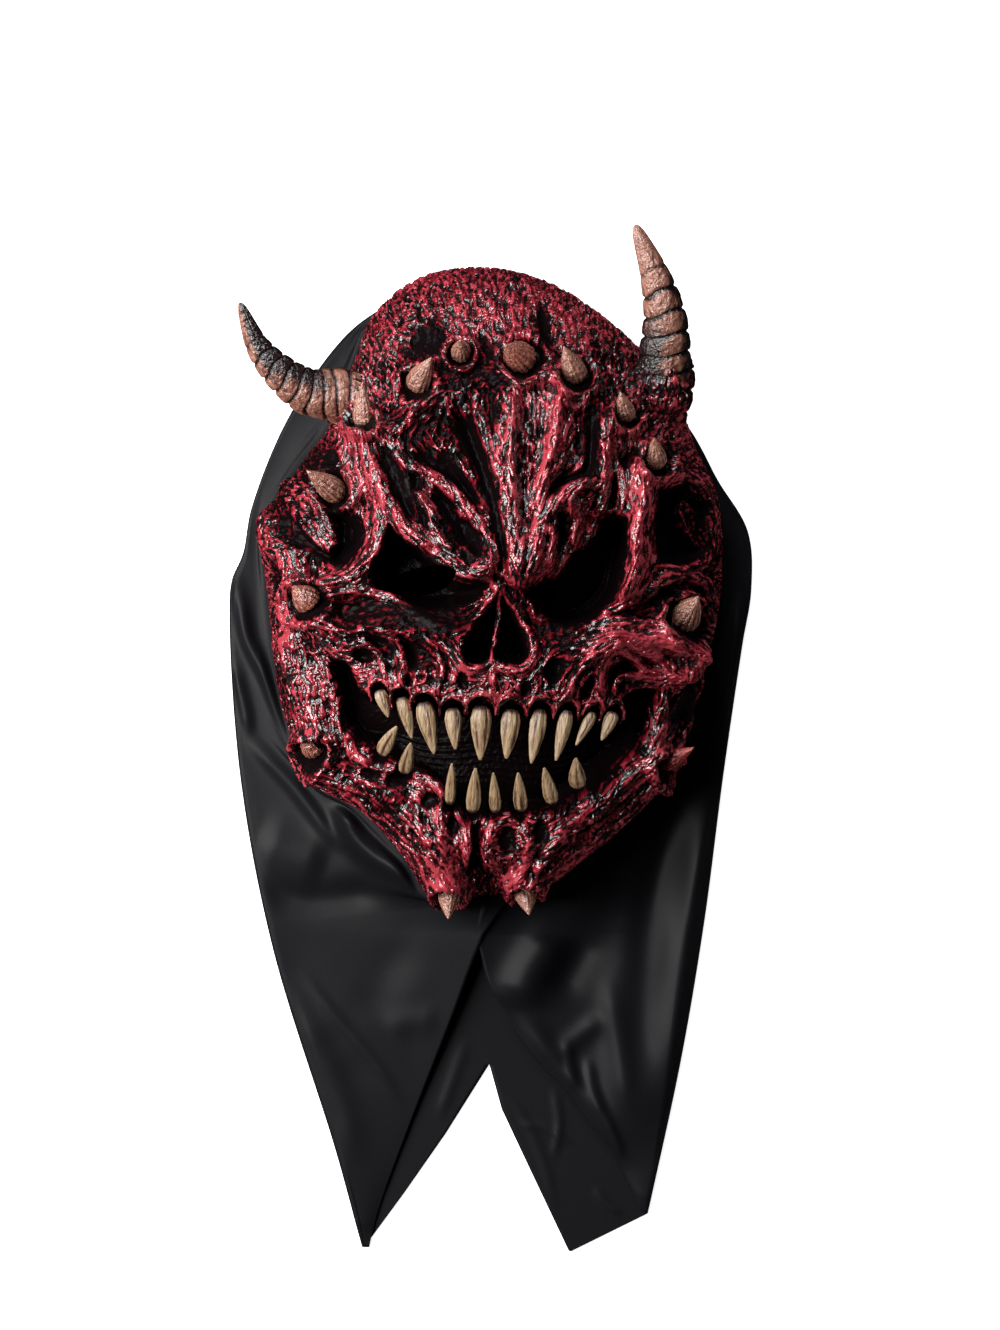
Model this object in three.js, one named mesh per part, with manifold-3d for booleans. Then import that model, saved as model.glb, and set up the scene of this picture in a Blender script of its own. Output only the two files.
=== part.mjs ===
// A devil skull mask of cast latex with its black cloth hood, lying on its back.
// Millimetres: +Z out of the face, +Y to the crown, +X to the viewer's right, z = 0 under the cloth.
import * as THREE from 'three';
import { mergeVertices } from 'three/addons/utils/BufferGeometryUtils.js';
import Module from 'manifold-3d';

const wasm = await Module();
wasm.setup();

// Casting
const LATEX = 3; // wall
const FACE_HEIGHT = 88; // plain dome at its middle, before the carving
const FULLNESS = 2.8; // exponent of the dome's section, where 2 is an ellipse
const RIM_HEIGHT = 6; // rim over the table at the sides
const CHIN_LIFT = 14; // more under the chin
const CROWN_LIFT = 6; // more at the crown
const DOME_CENTRE = new THREE.Vector2(3, 76);
const HALF_WIDTH = 102;
const HALF_LENGTH = 140;
const OUTER_COLUMNS = 36;
const OUTER_ROWS = 46;
const HOLLOW_COLUMNS = 18;
const HOLLOW_ROWS = 24;
const HOLLOW_REACH = 9; // the hollow follows the lowest carving within this distance
const HOLLOW_DIP = 3; // how far the hollow's edge reaches below the rim
const FLAT_FRONT = 0.6; // inside this share of the radius the carving rises straight out of the face
const STEEP_SIDE = 0.96; // from here on it stands square to the side

// Cloth
const CLOTH = 1.2;
const BACK_LAYER = 1.5;
const FOLD_INSET = 1; // the front layer's fold line, inside the outline of the back layer
const LIP_GAP = 1; // from the cloth's flange to the rim over it
const RIM_CLEARANCE = 2.5; // how far outside the rim the cloth levels off to run in under it
const HEM = 9; // flat band along the front layer's inner edge
const LARGEST_BAND = 0.4; // of the width at a flap's tip
const LEAST_WALL = 5; // of the front layer beside that band, where the fold runs under the crown
const CLOTH_SHARES = [0, 0.1, 0.45, 1]; // rows of points from the fold to that band
const CLIMB = 0.75; // exponent of the front layer's rise from the fold, where 1 is a straight slope
const PUFF_SHARE = 0.02; // of the front layer's width, how far it swells over that rise
const APEX_HEIGHT = 14; // the flaps' hems at the throat
const TIP_HEIGHT = 4; // and at their tips
const THROAT_STEP = 0.8; // of the left flap over the right one in the lap under the chin

// Outline of the casting's rim, from the chin round by the left of the picture
const RIM = [
  [-1, -64], [-26, -64], [-39.5, -45.5], [-58, -26], [-79, -13.5], [-87.5, 7], [-95, 36.5], [-99.5, 67],
  [-101, 98.5], [-87, 124.5], [-71.5, 145], [-62.5, 169], [-52, 194.5], [-31.5, 211], [-3.5, 215.5],
  [24.5, 209.5], [47.5, 196], [68, 178], [84, 157], [91.5, 136], [101.5, 114], [104, 87], [101.5, 58],
  [94, 35], [86.5, 12.5], [77.5, -8], [61.5, -23.5], [42.5, -42.5], [26, -59],
];

// Raised forms: the path of each over the face, the half width and the height
const RIDGES = [
  { path: [[-48, 137], [-37, 112], [-23, 89], [-5, 78]], width: 12, height: 11 }, // left brow
  { path: [[-52, 133], [-44, 112], [-34, 97], [-27, 89]], width: 8, height: 13 }, // its outer edge
  { path: [[50, 138], [42, 117], [27, 104], [18, 80]], width: 10, height: 11 }, // right brow
  { path: [[9, 150], [8, 116], [13, 78]], width: 9, height: 12 }, // wedge between the brows
  { path: [[29, 150], [27, 128], [20, 106]], width: 9, height: 12 }, // its right side
  { path: [[18, 152], [17, 124], [14, 100]], width: 8, height: 8 }, // its middle
  { path: [[62, 120], [64, 102], [61, 86], [58, 72]], width: 7, height: 12 }, // outer side of the right eye
  { path: [[-75, 61], [-62, 49], [-43, 55], [-21, 52], [-9, 45]], width: 8, height: 10 }, // left cheekbone
  { path: [[42, 44], [56, 49], [70, 49], [81, 46], [79, 36]], width: 8, height: 12 }, // right cheekbone
  { path: [[-84, 45], [-82, 23], [-76, 5]], width: 9, height: 6 }, // left jaw branch
  { path: [[87, 32], [79, 10], [72, -5]], width: 6, height: 6 }, // right jaw branch
  { path: [[-71, -5], [-47, -16], [-28, -35], [-17, -52]], width: 9, height: 8 }, // left jaw
  { path: [[69, -9], [47, -28], [30, -41], [15, -52]], width: 9, height: 8 }, // right jaw
  { path: [[-28, -35], [0, -40], [30, -35]], width: 8, height: 7 }, // chin
  { path: [[-95, 103], [-94, 91], [-85, 84], [-83, 73]], width: 7, height: 5 }, // left temple, outer rim
  { path: [[-45, 107], [-47, 90], [-56, 75], [-69, 70]], width: 7, height: 8 }, // left temple, inner rim
  { path: [[-66, 124], [-31, 146], [0, 158], [37, 149], [68, 126]], width: 9, height: 6 }, // row of spikes
];
const SWELLINGS = [
  { centre: [3, 80], radii: [20, 18], height: 7 }, // between the eyes
  { centre: [3, 32], radii: [46, 15], height: 12 }, // muzzle
];
const SEPTUM = { path: [[3, 72], [2.5, 48], [2.5, 30]], width: 5, height: 15 };

// Sunken forms: the loop of each edge, the depth below the plain dome and the slope's width
const LEFT_EYE = [
  [-50, 70], [-52, 83], [-43, 99], [-25, 88], [-12, 76], [1, 73], [-4, 65], [-21, 60], [-38, 62],
];
const RIGHT_EYE = [
  [13, 71], [28, 77], [35, 87], [42, 91], [46, 101], [56, 103], [62, 99], [60, 82], [56, 66], [46, 56], [30, 54],
];
const NOSE = [[2, 70], [-4, 58], [-11, 45], [-9, 36], [7, 34], [16, 37], [18, 45], [12, 59]];
const MOUTH = [
  [-69, 40], [-66.5, 23], [-62.5, 6], [-51, 0], [-42, -9], [-28, -15], [-20, -25], [4, -29], [30, -25],
  [47, -16], [64, -6], [71, 10], [72, 28], [58, 27], [53, 21], [38, 21], [4, 22], [-9, 23], [-26, 27],
  [-46, 31], [-53, 27.5], [-57, 35], [-61.5, 40.5],
];
const HOLLOWS = [
  { loop: LEFT_EYE, depth: 26, slope: 11 },
  { loop: RIGHT_EYE, depth: 26, slope: 11 },
  { loop: NOSE, depth: 10, slope: 8 },
  { loop: MOUTH, depth: 18, slope: 6 },
  { loop: [[-84, 100], [-80, 88], [-60, 79], [-54, 88], [-57, 102], [-72, 109]], depth: 12, slope: 9 },
  { loop: [[71, 112], [84, 118], [97, 110], [98, 92], [90, 80], [71, 82]], depth: 10, slope: 9 },
];
const EYE_HOLES = [
  { centre: [-29, 74], radii: [15, 6], turn: 12 },
  { centre: [39, 74], radii: [14, 8], turn: 50 },
];
const HOLE_SIDES = 16;

// Teeth: root and tip on the face, and width at the root
const TEETH_STAND_OUT = 5; // of the plain dome, at the root
const UPPER_TEETH = [
  [[-47, 27.5], [-43, 16], 7], [[-37.5, 24.5], [-33, 7], 8], [[-28, 22.5], [-23.5, 0.5], 9],
  [[-15.5, 20], [-14.5, 2.5], 9], [[-3.5, 21], [-4, -2], 10], [[9.5, 19.5], [7, -1.5], 10],
  [[21.5, 19.5], [17.5, -3.5], 9], [[33, 19], [28, -2.5], 8], [[44, 18], [36.5, 4], 7],
  [[53, 18], [47.5, 6], 7],
];
const LOWER_TEETH = [
  [[-46.5, 0], [-39.5, 12], 8], [[-36.5, -8], [-33.5, 5], 8], [[-17, -21], [-16, -3.5], 7],
  [[-7.5, -24.5], [-6, -5.5], 8], [[2.5, -24.5], [1.5, -7.5], 7], [[13.5, -24], [12, -7.5], 7],
  [[27, -21], [23, -5.5], 8], [[37.5, -14.5], [36.5, -1.5], 8],
];

// Spikes: root and tip as seen from the front, width at the root and length
const SPIKES = [
  [[-52.5, 139.5], [-54, 155], 9, 19], [[-31, 157], [-26, 165.5], 11, 16],
  [[-12.5, 170.5], [-12.5, 173.5], 9, 12], [[14.5, 168], [8.5, 171.5], 14, 17],
  [[37, 160.5], [32.5, 170.5], 11, 15], [[58, 143.5], [56, 151.5], 9, 14],
  [[70.5, 124], [70, 132], 10, 15], [[-66, 112], [-75.5, 119], 11, 16], [[-75.5, 65], [-82, 70], 12, 15],
  [[82.5, 57], [87.5, 65], 14, 16], [[-75, 2.5], [-78.5, 5.5], 11, 12], [[73.5, -2.5], [85.5, 1.5], 9, 17],
  [[-17.5, -59], [-18, -69], 10, 15], [[15, -57.5], [16.5, -67.5], 10, 15],
];
const BOSS_HEIGHT = 4;
const THORN_SIDES = 7; // of teeth and spikes
const ROOT_DEPTH = 6; // how far teeth and spikes run on into the flesh
const GUM_DEPTH = 9; // how much deeper a tooth's end lies than its root at the gum

// Horns: centre line from inside the head to the tip, radii of the root and the blunt tip, taper, rings
const HORNS = [
  {
    line: [[-56, 148, 34], [-63, 155, 40], [-79, 157, 48], [-90, 164, 56], [-99, 174, 62], [-107, 193, 70]],
    radius: 13.5, tipRadius: 1.8, taper: 1.3, rings: 10,
  },
  {
    line: [[70.5, 146, 30], [75, 159, 40], [76, 175, 50], [75.5, 188, 58], [71.5, 203, 65], [62, 226, 72]],
    radius: 13.3, tipRadius: 2.2, taper: 1.8, rings: 8,
  },
];
const HORN_SIDES = 10;
const RING_DEPTH = 0.9; // groove between rings
const RINGED_SHARE = 0.78; // of the horn's length, the rest is smooth
const STEPS_PER_RING = 3;
const SMOOTH_STEPS = 5;
const TIP_ROUNDING = 50; // exponent, higher for a blunter tip

// Cloth outline: from the left tip round by the crown to the right tip, then the neck's lower edge back
const CLOTH_SIDES = [
  [-57.5, -223.5], [-69.5, -179.5], [-97.5, -89.5], [-112, -13.5], [-117, 57.5], [-116, 76], [-111, 88],
  [-107, 109], [-89, 152], [-60.5, 190], [-34, 204], [0, 209], [34, 200], [66, 173], [90, 143], [102, 121],
  [115.5, 98], [117, 72], [113, 47], [104.5, -11], [96, -76.5], [85.5, -139], [70.5, -208.5],
];
const CLOTH_NECK = [
  [50, -219], [35.5, -226], [16.5, -186], [5, -161.5], [-0.5, -141.5], [-20, -172.5], [-38.5, -199],
];
const FOLD_DETAIL = 400; // steps along the fold line when a height on it is looked up
const FLAP_STATIONS = 7; // of the front layer, from a flap's tip up to the throat
const HALF_RING_STATIONS = 13; // and from there round one side of the face to the crown
const LEFT_HEM = [[-53.5, -223.5], [-37, -169], [-7.5, -93.5], [-2, -80]];
const RIGHT_HEM = [[66.5, -206], [53, -177.5], [24.5, -143.5], [6, -119.5], [-3, -103.5], [-7, -80]];
const THROAT_Y = -80; // where the hems, already crossed, turn up to the chin
const CHIN_LAP = 5; // how far each flap reaches over the middle of the chin
const LAP_TURN = 0.15; // radians along the rim over which that lap fades out

// A closed shape as one manifold solid
function solid(geometry) {
  const bare = geometry.clone();
  bare.deleteAttribute('normal');
  bare.deleteAttribute('uv');
  const merged = mergeVertices(bare, 1e-4);
  return new wasm.Manifold(new wasm.Mesh({
    numProp: 3,
    vertProperties: new Float32Array(merged.attributes.position.array),
    triVerts: new Uint32Array(merged.index.array),
  }));
}

function meshOf(shape, name, material) {
  const { vertProperties, triVerts } = shape.getMesh();
  const geometry = new THREE.BufferGeometry();
  geometry.setAttribute('position', new THREE.BufferAttribute(vertProperties, 3));
  geometry.setIndex(new THREE.BufferAttribute(triVerts, 1));
  geometry.computeVertexNormals();
  const mesh = new THREE.Mesh(geometry, material);
  mesh.name = name;
  return mesh;
}

function indexed(points, triangles) {
  const geometry = new THREE.BufferGeometry().setFromPoints(points);
  geometry.setIndex(triangles);
  return geometry;
}

function smoothPath(points, closed = false) {
  return new THREE.CatmullRomCurve3(points.map(([x, y, z = 0]) => new THREE.Vector3(x, y, z)), closed);
}

// Distance from a point to a path of straight pieces
function pathDistance(x, y, path, closed = false) {
  let best = Infinity;
  const pieces = closed ? path.length : path.length - 1;
  for (let i = 0; i < pieces; i += 1) {
    const [ax, ay] = path[i];
    const [bx, by] = path[(i + 1) % path.length];
    const along = ((x - ax) * (bx - ax) + (y - ay) * (by - ay)) / ((bx - ax) ** 2 + (by - ay) ** 2);
    const t = THREE.MathUtils.clamp(along, 0, 1);
    best = Math.min(best, Math.hypot(x - ax - t * (bx - ax), y - ay - t * (by - ay)));
  }
  return best;
}

function insideLoop(x, y, loop) {
  let inside = false;
  loop.forEach(([ax, ay], i) => {
    const [bx, by] = loop[(i + 1) % loop.length];
    if (ay > y !== by > y && x < ax + ((y - ay) * (bx - ax)) / (by - ay)) inside = !inside;
  });
  return inside;
}

// How far the rim lies from the dome's centre, in any direction
const rimTable = smoothPath(RIM, true).getPoints(720).map((point) => ({
  angle: Math.atan2(point.y - DOME_CENTRE.y, point.x - DOME_CENTRE.x),
  radius: Math.hypot(point.x - DOME_CENTRE.x, point.y - DOME_CENTRE.y),
})).sort((a, b) => a.angle - b.angle);

function rimRadius(angle) {
  const wrapped = Math.atan2(Math.sin(angle), Math.cos(angle));
  const next = rimTable.findIndex((entry) => entry.angle >= wrapped);
  return rimTable[next < 0 ? 0 : next].radius;
}

function rimHeight(angle) {
  const up = Math.sin(angle);
  return RIM_HEIGHT + CHIN_LIFT * Math.max(0, -up) ** 3 + CROWN_LIFT * Math.max(0, up) ** 3;
}

// Height of the plain dome over a place on the face
function domeHeight(x, y) {
  const angle = Math.atan2(y - DOME_CENTRE.y, x - DOME_CENTRE.x);
  const share = Math.min(1, Math.hypot(x - DOME_CENTRE.x, y - DOME_CENTRE.y) / rimRadius(angle));
  const rim = rimHeight(angle);
  return rim + (FACE_HEIGHT - rim) * Math.sqrt(1 - share ** FULLNESS);
}

// The carving's height over the plain dome
function carving(x, y) {
  let height = 0;
  for (const { centre, radii, height: rise } of SWELLINGS) {
    height += rise * Math.exp(-(((x - centre[0]) / radii[0]) ** 2) - ((y - centre[1]) / radii[1]) ** 2);
  }
  const ridges = RIDGES.map(({ path, width, height: rise }) => (
    rise * Math.exp(-((pathDistance(x, y, path) / width) ** 2))
  ));
  height += Math.max(...ridges);
  for (const { loop, depth, slope } of HOLLOWS) {
    if (!insideLoop(x, y, loop)) continue;
    const sunk = THREE.MathUtils.smoothstep(pathDistance(x, y, loop, true), 0, slope);
    height = THREE.MathUtils.lerp(height, -depth, sunk);
  }
  const septum = SEPTUM.height * Math.exp(-((pathDistance(x, y, SEPTUM.path) / SEPTUM.width) ** 2));
  height = Math.max(height, septum);
  for (const [root, , width] of SPIKES) {
    const ring = (Math.hypot(x - root[0], y - root[1]) - width * 0.6) / (width * 0.35);
    height += BOSS_HEIGHT * Math.exp(-(ring ** 2));
  }
  return height;
}

function lowestNear(x, y) {
  let lowest = carving(x, y);
  for (let turn = 0; turn < 2 * Math.PI; turn += Math.PI / 4) {
    lowest = Math.min(lowest, carving(x + HOLLOW_REACH * Math.cos(turn), y + HOLLOW_REACH * Math.sin(turn)));
  }
  return Math.min(lowest, 0);
}

// A point of the casting's skin, or of its hollow, for a place p, q in a square from -1 to 1
function skinPoint(p, q, hollow) {
  const across = p * Math.sqrt(1 - q * q / 2);
  const along = q * Math.sqrt(1 - p * p / 2);
  const angle = Math.atan2(along * HALF_LENGTH, across * HALF_WIDTH);
  const tilt = (Math.PI / 2) * Math.min(1, Math.hypot(across, along)) ** (FULLNESS / 2);
  const share = Math.sin(tilt) ** (2 / FULLNESS);
  const radius = rimRadius(angle);
  const rim = rimHeight(angle);
  const x = DOME_CENTRE.x + radius * share * Math.cos(angle);
  const y = DOME_CENTRE.y + radius * share * Math.sin(angle);
  const z = rim + (FACE_HEIGHT - rim) * Math.cos(tilt);
  const outward = (FACE_HEIGHT - rim) * FULLNESS * share ** (FULLNESS - 1);
  const slope = Math.atan2(outward, 2 * radius * Math.cos(tilt));
  const lean = slope * THREE.MathUtils.smoothstep(share, FLAT_FRONT, STEEP_SIDE);
  const move = new THREE.Vector3(Math.cos(angle), Math.sin(angle), 0).multiplyScalar(Math.sin(lean));
  move.z = Math.cos(lean);
  const rise = hollow ? lowestNear(x, y) - LATEX : carving(x, y);
  const point = new THREE.Vector3(x, y, z).addScaledVector(move, rise);
  if (hollow) point.z -= HOLLOW_DIP * (1 - Math.cos(tilt));
  return point;
}

// The dome as a closed solid: a grid over it and a fan below, to a foot under the middle
function domeSolid(columns, rows, hollow, footHeight) {
  const points = [];
  for (let j = 0; j <= rows; j += 1) {
    for (let i = 0; i <= columns; i += 1) {
      points.push(skinPoint(-1 + (2 * i) / columns, -1 + (2 * j) / rows, hollow));
    }
  }
  const at = (i, j) => j * (columns + 1) + i;
  const triangles = [];
  for (let j = 0; j < rows; j += 1) {
    for (let i = 0; i < columns; i += 1) {
      const falling = (i < columns / 2) === (j < rows / 2);
      const [a, b, c, d] = [at(i, j), at(i + 1, j), at(i + 1, j + 1), at(i, j + 1)];
      triangles.push(...(falling ? [a, b, d, b, c, d] : [a, b, c, a, c, d]));
    }
  }
  const edge = [];
  for (let i = 0; i < columns; i += 1) edge.push(at(i, 0));
  for (let j = 0; j < rows; j += 1) edge.push(at(columns, j));
  for (let i = columns; i > 0; i -= 1) edge.push(at(i, rows));
  for (let j = rows; j > 0; j -= 1) edge.push(at(0, j));
  const foot = points.push(new THREE.Vector3(DOME_CENTRE.x, DOME_CENTRE.y, footHeight)) - 1;
  edge.forEach((vertex, k) => triangles.push(edge[(k + 1) % edge.length], vertex, foot));
  return solid(indexed(points, triangles));
}

// A pointed cone, slightly full in its flanks, from a root to a tip
function thorn(root, tip, radius) {
  const axis = tip.clone().sub(root);
  const length = axis.length();
  const shares = [[0, 0], [1, 0], [0.86, 0.4], [0.5, 0.76], [0, 1]];
  const profile = shares.map(([out, up]) => new THREE.Vector2(out * radius, up * length));
  const geometry = new THREE.LatheGeometry(profile, THORN_SIDES);
  const lathe = new THREE.Vector3(0, 1, 0);
  geometry.applyQuaternion(new THREE.Quaternion().setFromUnitVectors(lathe, axis.normalize()));
  geometry.translate(root.x, root.y, root.z);
  return solid(geometry);
}

function spike([root, tip, width, length]) {
  const [dx, dy] = [tip[0] - root[0], tip[1] - root[1]];
  const rise = Math.sqrt(Math.max(length ** 2 - dx ** 2 - dy ** 2, 4));
  const base = new THREE.Vector3(...root, domeHeight(...root));
  const point = new THREE.Vector3(...tip, base.z + rise);
  const inward = base.clone().sub(point).setLength(ROOT_DEPTH);
  return thorn(base.add(inward), point, width / 2);
}

function tooth([root, tip, width]) {
  const base = new THREE.Vector3(...root, domeHeight(...root) + TEETH_STAND_OUT);
  const point = new THREE.Vector3(...tip, domeHeight(...tip) + TEETH_STAND_OUT);
  const inward = base.clone().sub(point).setLength(ROOT_DEPTH);
  inward.z -= GUM_DEPTH;
  return thorn(base.add(inward), point, width / 2);
}

// A ringed horn: round sections along its centre line, with a groove between one ring and the next
function horn({ line, radius, tipRadius, taper, rings }) {
  const curve = smoothPath(line);
  const ringSteps = rings * STEPS_PER_RING;
  const shares = [];
  for (let k = 0; k <= ringSteps; k += 1) shares.push((RINGED_SHARE * k) / ringSteps);
  const smoothShare = 1 - RINGED_SHARE;
  for (let k = 1; k < SMOOTH_STEPS; k += 1) shares.push(RINGED_SHARE + (smoothShare * k) / SMOOTH_STEPS);
  const points = [];
  shares.forEach((share, k) => {
    const middle = curve.getPointAt(share);
    const ahead = curve.getTangentAt(share);
    const side = new THREE.Vector3(0, 0, 1).cross(ahead).normalize();
    const up = ahead.clone().cross(side);
    const groove = k <= ringSteps && k % STEPS_PER_RING === 0 ? RING_DEPTH : 0;
    const cone = (radius - tipRadius) * (1 - share ** taper);
    const reach = cone + tipRadius * Math.sqrt(1 - share ** TIP_ROUNDING) - groove;
    for (let n = 0; n < HORN_SIDES; n += 1) {
      const turn = (2 * Math.PI * n) / HORN_SIDES;
      const rimPoint = middle.clone().addScaledVector(side, reach * Math.cos(turn));
      points.push(rimPoint.addScaledVector(up, reach * Math.sin(turn)));
    }
  });
  const triangles = [];
  for (let k = 0; k + 1 < shares.length; k += 1) {
    for (let n = 0; n < HORN_SIDES; n += 1) {
      const [a, b] = [k * HORN_SIDES + n, k * HORN_SIDES + ((n + 1) % HORN_SIDES)];
      triangles.push(a, b, b + HORN_SIDES, a, b + HORN_SIDES, a + HORN_SIDES);
    }
  }
  const root = points.push(curve.getPointAt(0)) - 1;
  const tip = points.push(curve.getPointAt(1)) - 1;
  const last = (shares.length - 1) * HORN_SIDES;
  for (let n = 0; n < HORN_SIDES; n += 1) {
    const next = (n + 1) % HORN_SIDES;
    triangles.push(root, next, n, tip, last + n, last + next);
  }
  return solid(indexed(points, triangles));
}

function eyeHole({ centre, radii, turn }) {
  const geometry = new THREE.CylinderGeometry(1, 1, 2 * FACE_HEIGHT, HOLE_SIDES);
  geometry.rotateX(Math.PI / 2);
  geometry.scale(radii[0], radii[1], 1);
  geometry.rotateZ(THREE.MathUtils.degToRad(turn));
  geometry.translate(centre[0], centre[1], FACE_HEIGHT);
  return solid(geometry);
}

function latexMask() {
  let shape = domeSolid(OUTER_COLUMNS, OUTER_ROWS, false, RIM_HEIGHT);
  for (const entry of HORNS) shape = shape.add(horn(entry));
  for (const entry of SPIKES) shape = shape.add(spike(entry));
  for (const entry of [...UPPER_TEETH, ...LOWER_TEETH]) shape = shape.add(tooth(entry));
  shape = shape.subtract(domeSolid(HOLLOW_COLUMNS, HOLLOW_ROWS, true, -FACE_HEIGHT));
  for (const entry of EYE_HOLES) shape = shape.subtract(eyeHole(entry));
  return shape;
}

// The fold line down both sides: up the left flap, round the face and down the right flap
const foldCurve = smoothPath(CLOTH_SIDES);
const foldPoints = foldCurve.getSpacedPoints(FOLD_DETAIL);
const leftThroat = foldPoints.findIndex((point) => point.y >= THROAT_Y) / FOLD_DETAIL;
const rightThroat = foldPoints.findLastIndex((point) => point.y >= THROAT_Y) / FOLD_DETAIL;

function foldStretch(from, to, steps) {
  const shares = Array.from({ length: steps + 1 }, (_, k) => from + ((to - from) * k) / steps);
  return shares.map((share) => foldCurve.getPointAt(share));
}

const leftFold = foldStretch(0, leftThroat, FLAP_STATIONS);
const ringFold = foldStretch(leftThroat, rightThroat, 2 * HALF_RING_STATIONS);
const rightFold = foldStretch(rightThroat, 1, FLAP_STATIONS);

// The edge of a flap that faces a place on its fold
function flapEdge(fold, hem, tipFold) {
  const share = (fold.y - tipFold.y) / (THROAT_Y - tipFold.y);
  const y = THREE.MathUtils.lerp(hem[0][1], THROAT_Y, THREE.MathUtils.clamp(share, 0, 1));
  const next = Math.max(1, hem.findIndex((point) => point[1] >= y));
  const [ax, ay] = hem[next - 1];
  const [bx, by] = hem[next];
  const x = THREE.MathUtils.mapLinear(y, ay, by, ax, bx);
  const apex = APEX_HEIGHT - (fold.x > 0 ? THROAT_STEP : 0);
  const edge = new THREE.Vector3(x, y, THREE.MathUtils.lerp(TIP_HEIGHT, apex, share));
  const band = Math.min(HEM / Math.hypot(fold.x - x, fold.y - y), LARGEST_BAND);
  const shoulder = edge.clone().lerp(fold, band).setZ(edge.z);
  return { shoulder, edge };
}

// The edge tucked in under the rim that faces a place on the fold beside the face
function rimEdge(fold) {
  const side = Math.sign(fold.x);
  const turnOf = ({ x, y }) => Math.atan2(side * (x - DOME_CENTRE.x), DOME_CENTRE.y - y);
  const start = turnOf(side > 0 ? ringFold.at(-1) : ringFold[0]);
  const turn = Math.max(0, THREE.MathUtils.mapLinear(turnOf(fold), start, Math.PI, 0, Math.PI));
  const angle = side * turn - Math.PI / 2;
  const foldReach = Math.hypot(fold.x - DOME_CENTRE.x, fold.y - DOME_CENTRE.y);
  const lap = CHIN_LAP * Math.max(0, 1 - turn / LAP_TURN);
  const step = side > 0 ? (THROAT_STEP * lap) / CHIN_LAP : 0;
  const height = rimHeight(angle) - LIP_GAP - CLOTH / 2 - step;
  const place = (reach) => new THREE.Vector3(
    DOME_CENTRE.x + reach * Math.cos(angle) - side * lap,
    DOME_CENTRE.y + reach * Math.sin(angle),
    height,
  );
  const shoulderReach = Math.min(rimRadius(angle) + RIM_CLEARANCE, foldReach - LEAST_WALL);
  return { shoulder: place(shoulderReach), edge: place(shoulderReach - HEM) };
}

// Points of the front layer from its fold to its inner edge, which has a flat band along it
function clothRow(fold, { shoulder, edge }) {
  const outer = fold.clone();
  const middle = new THREE.Vector3(DOME_CENTRE.x, Math.min(outer.y, DOME_CENTRE.y), 0);
  outer.add(middle.sub(outer).setLength(FOLD_INSET));
  outer.z = BACK_LAYER - CLOTH / 2;
  const width = Math.hypot(shoulder.x - outer.x, shoulder.y - outer.y);
  const row = CLOTH_SHARES.map((part) => {
    const point = outer.clone().lerp(shoulder, part);
    const puff = PUFF_SHARE * width * Math.sin(part * Math.PI);
    point.z = outer.z + (shoulder.z - outer.z) * part ** CLIMB + puff;
    return point;
  });
  return [...row, edge];
}

// A sheet given as rows of points, made a closed solid of even thickness
function thicken(rows, thickness) {
  const [last, width] = [rows.length - 1, rows[0].length];
  const points = [];
  for (const side of [0.5, -0.5]) {
    rows.forEach((row, k) => row.forEach((point, j) => {
      const along = rows[Math.min(k + 1, last)][j].clone().sub(rows[Math.max(k - 1, 0)][j]);
      const across = row[Math.min(j + 1, width - 1)].clone().sub(row[Math.max(j - 1, 0)]);
      const normal = across.cross(along).normalize();
      points.push(point.clone().addScaledVector(normal, side * thickness * Math.sign(normal.z)));
    }));
  }
  const half = rows.length * width;
  const at = (k, j, below) => k * width + j + (below ? half : 0);
  const triangles = [];
  const quad = (a, b, c, d) => triangles.push(a, c, b, a, d, c);
  for (let k = 0; k < last; k += 1) {
    for (let j = 0; j + 1 < width; j += 1) {
      quad(at(k, j, 0), at(k + 1, j, 0), at(k + 1, j + 1, 0), at(k, j + 1, 0));
      quad(at(k, j, 1), at(k, j + 1, 1), at(k + 1, j + 1, 1), at(k + 1, j, 1));
    }
    quad(at(k, 0, 1), at(k + 1, 0, 1), at(k + 1, 0, 0), at(k, 0, 0));
    quad(at(k, width - 1, 0), at(k + 1, width - 1, 0), at(k + 1, width - 1, 1), at(k, width - 1, 1));
  }
  for (let j = 0; j + 1 < width; j += 1) {
    quad(at(0, j, 0), at(0, j + 1, 0), at(0, j + 1, 1), at(0, j, 1));
    quad(at(last, j, 1), at(last, j + 1, 1), at(last, j + 1, 0), at(last, j, 0));
  }
  return solid(indexed(points, triangles));
}

// The front layer's two halves, which lap under the chin and join at the crown
function frontLayer() {
  const ring = ringFold.map((fold) => clothRow(fold, rimEdge(fold)));
  const left = leftFold.map((fold) => clothRow(fold, flapEdge(fold, LEFT_HEM, leftFold[0])));
  const right = rightFold.map((fold) => clothRow(fold, flapEdge(fold, RIGHT_HEM, rightFold.at(-1))));
  const leftHalf = thicken([...left, ...ring.slice(0, HALF_RING_STATIONS + 1)], CLOTH);
  const rightHalf = thicken([...ring.slice(HALF_RING_STATIONS), ...right], CLOTH);
  return leftHalf.add(rightHalf);
}

function backLayer() {
  const sides = [...leftFold, ...ringFold.slice(1), ...rightFold.slice(1)];
  const outline = [...sides.map(({ x, y }) => [x, y]), ...CLOTH_NECK];
  const shape = new THREE.Shape(outline.map(([x, y]) => new THREE.Vector2(x, y)));
  return solid(new THREE.ExtrudeGeometry(shape, { depth: BACK_LAYER, bevelEnabled: false }));
}

const latex = new THREE.MeshStandardMaterial({ color: 0x8c1512, roughness: 0.35 });
const blackCloth = new THREE.MeshStandardMaterial({ color: 0x1a1a1c, roughness: 0.85 });

const mask = new THREE.Group();
mask.add(meshOf(latexMask(), 'latex_mask', latex));
mask.add(meshOf(backLayer().add(frontLayer()), 'cloth_hood', blackCloth));

export default mask;
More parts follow.
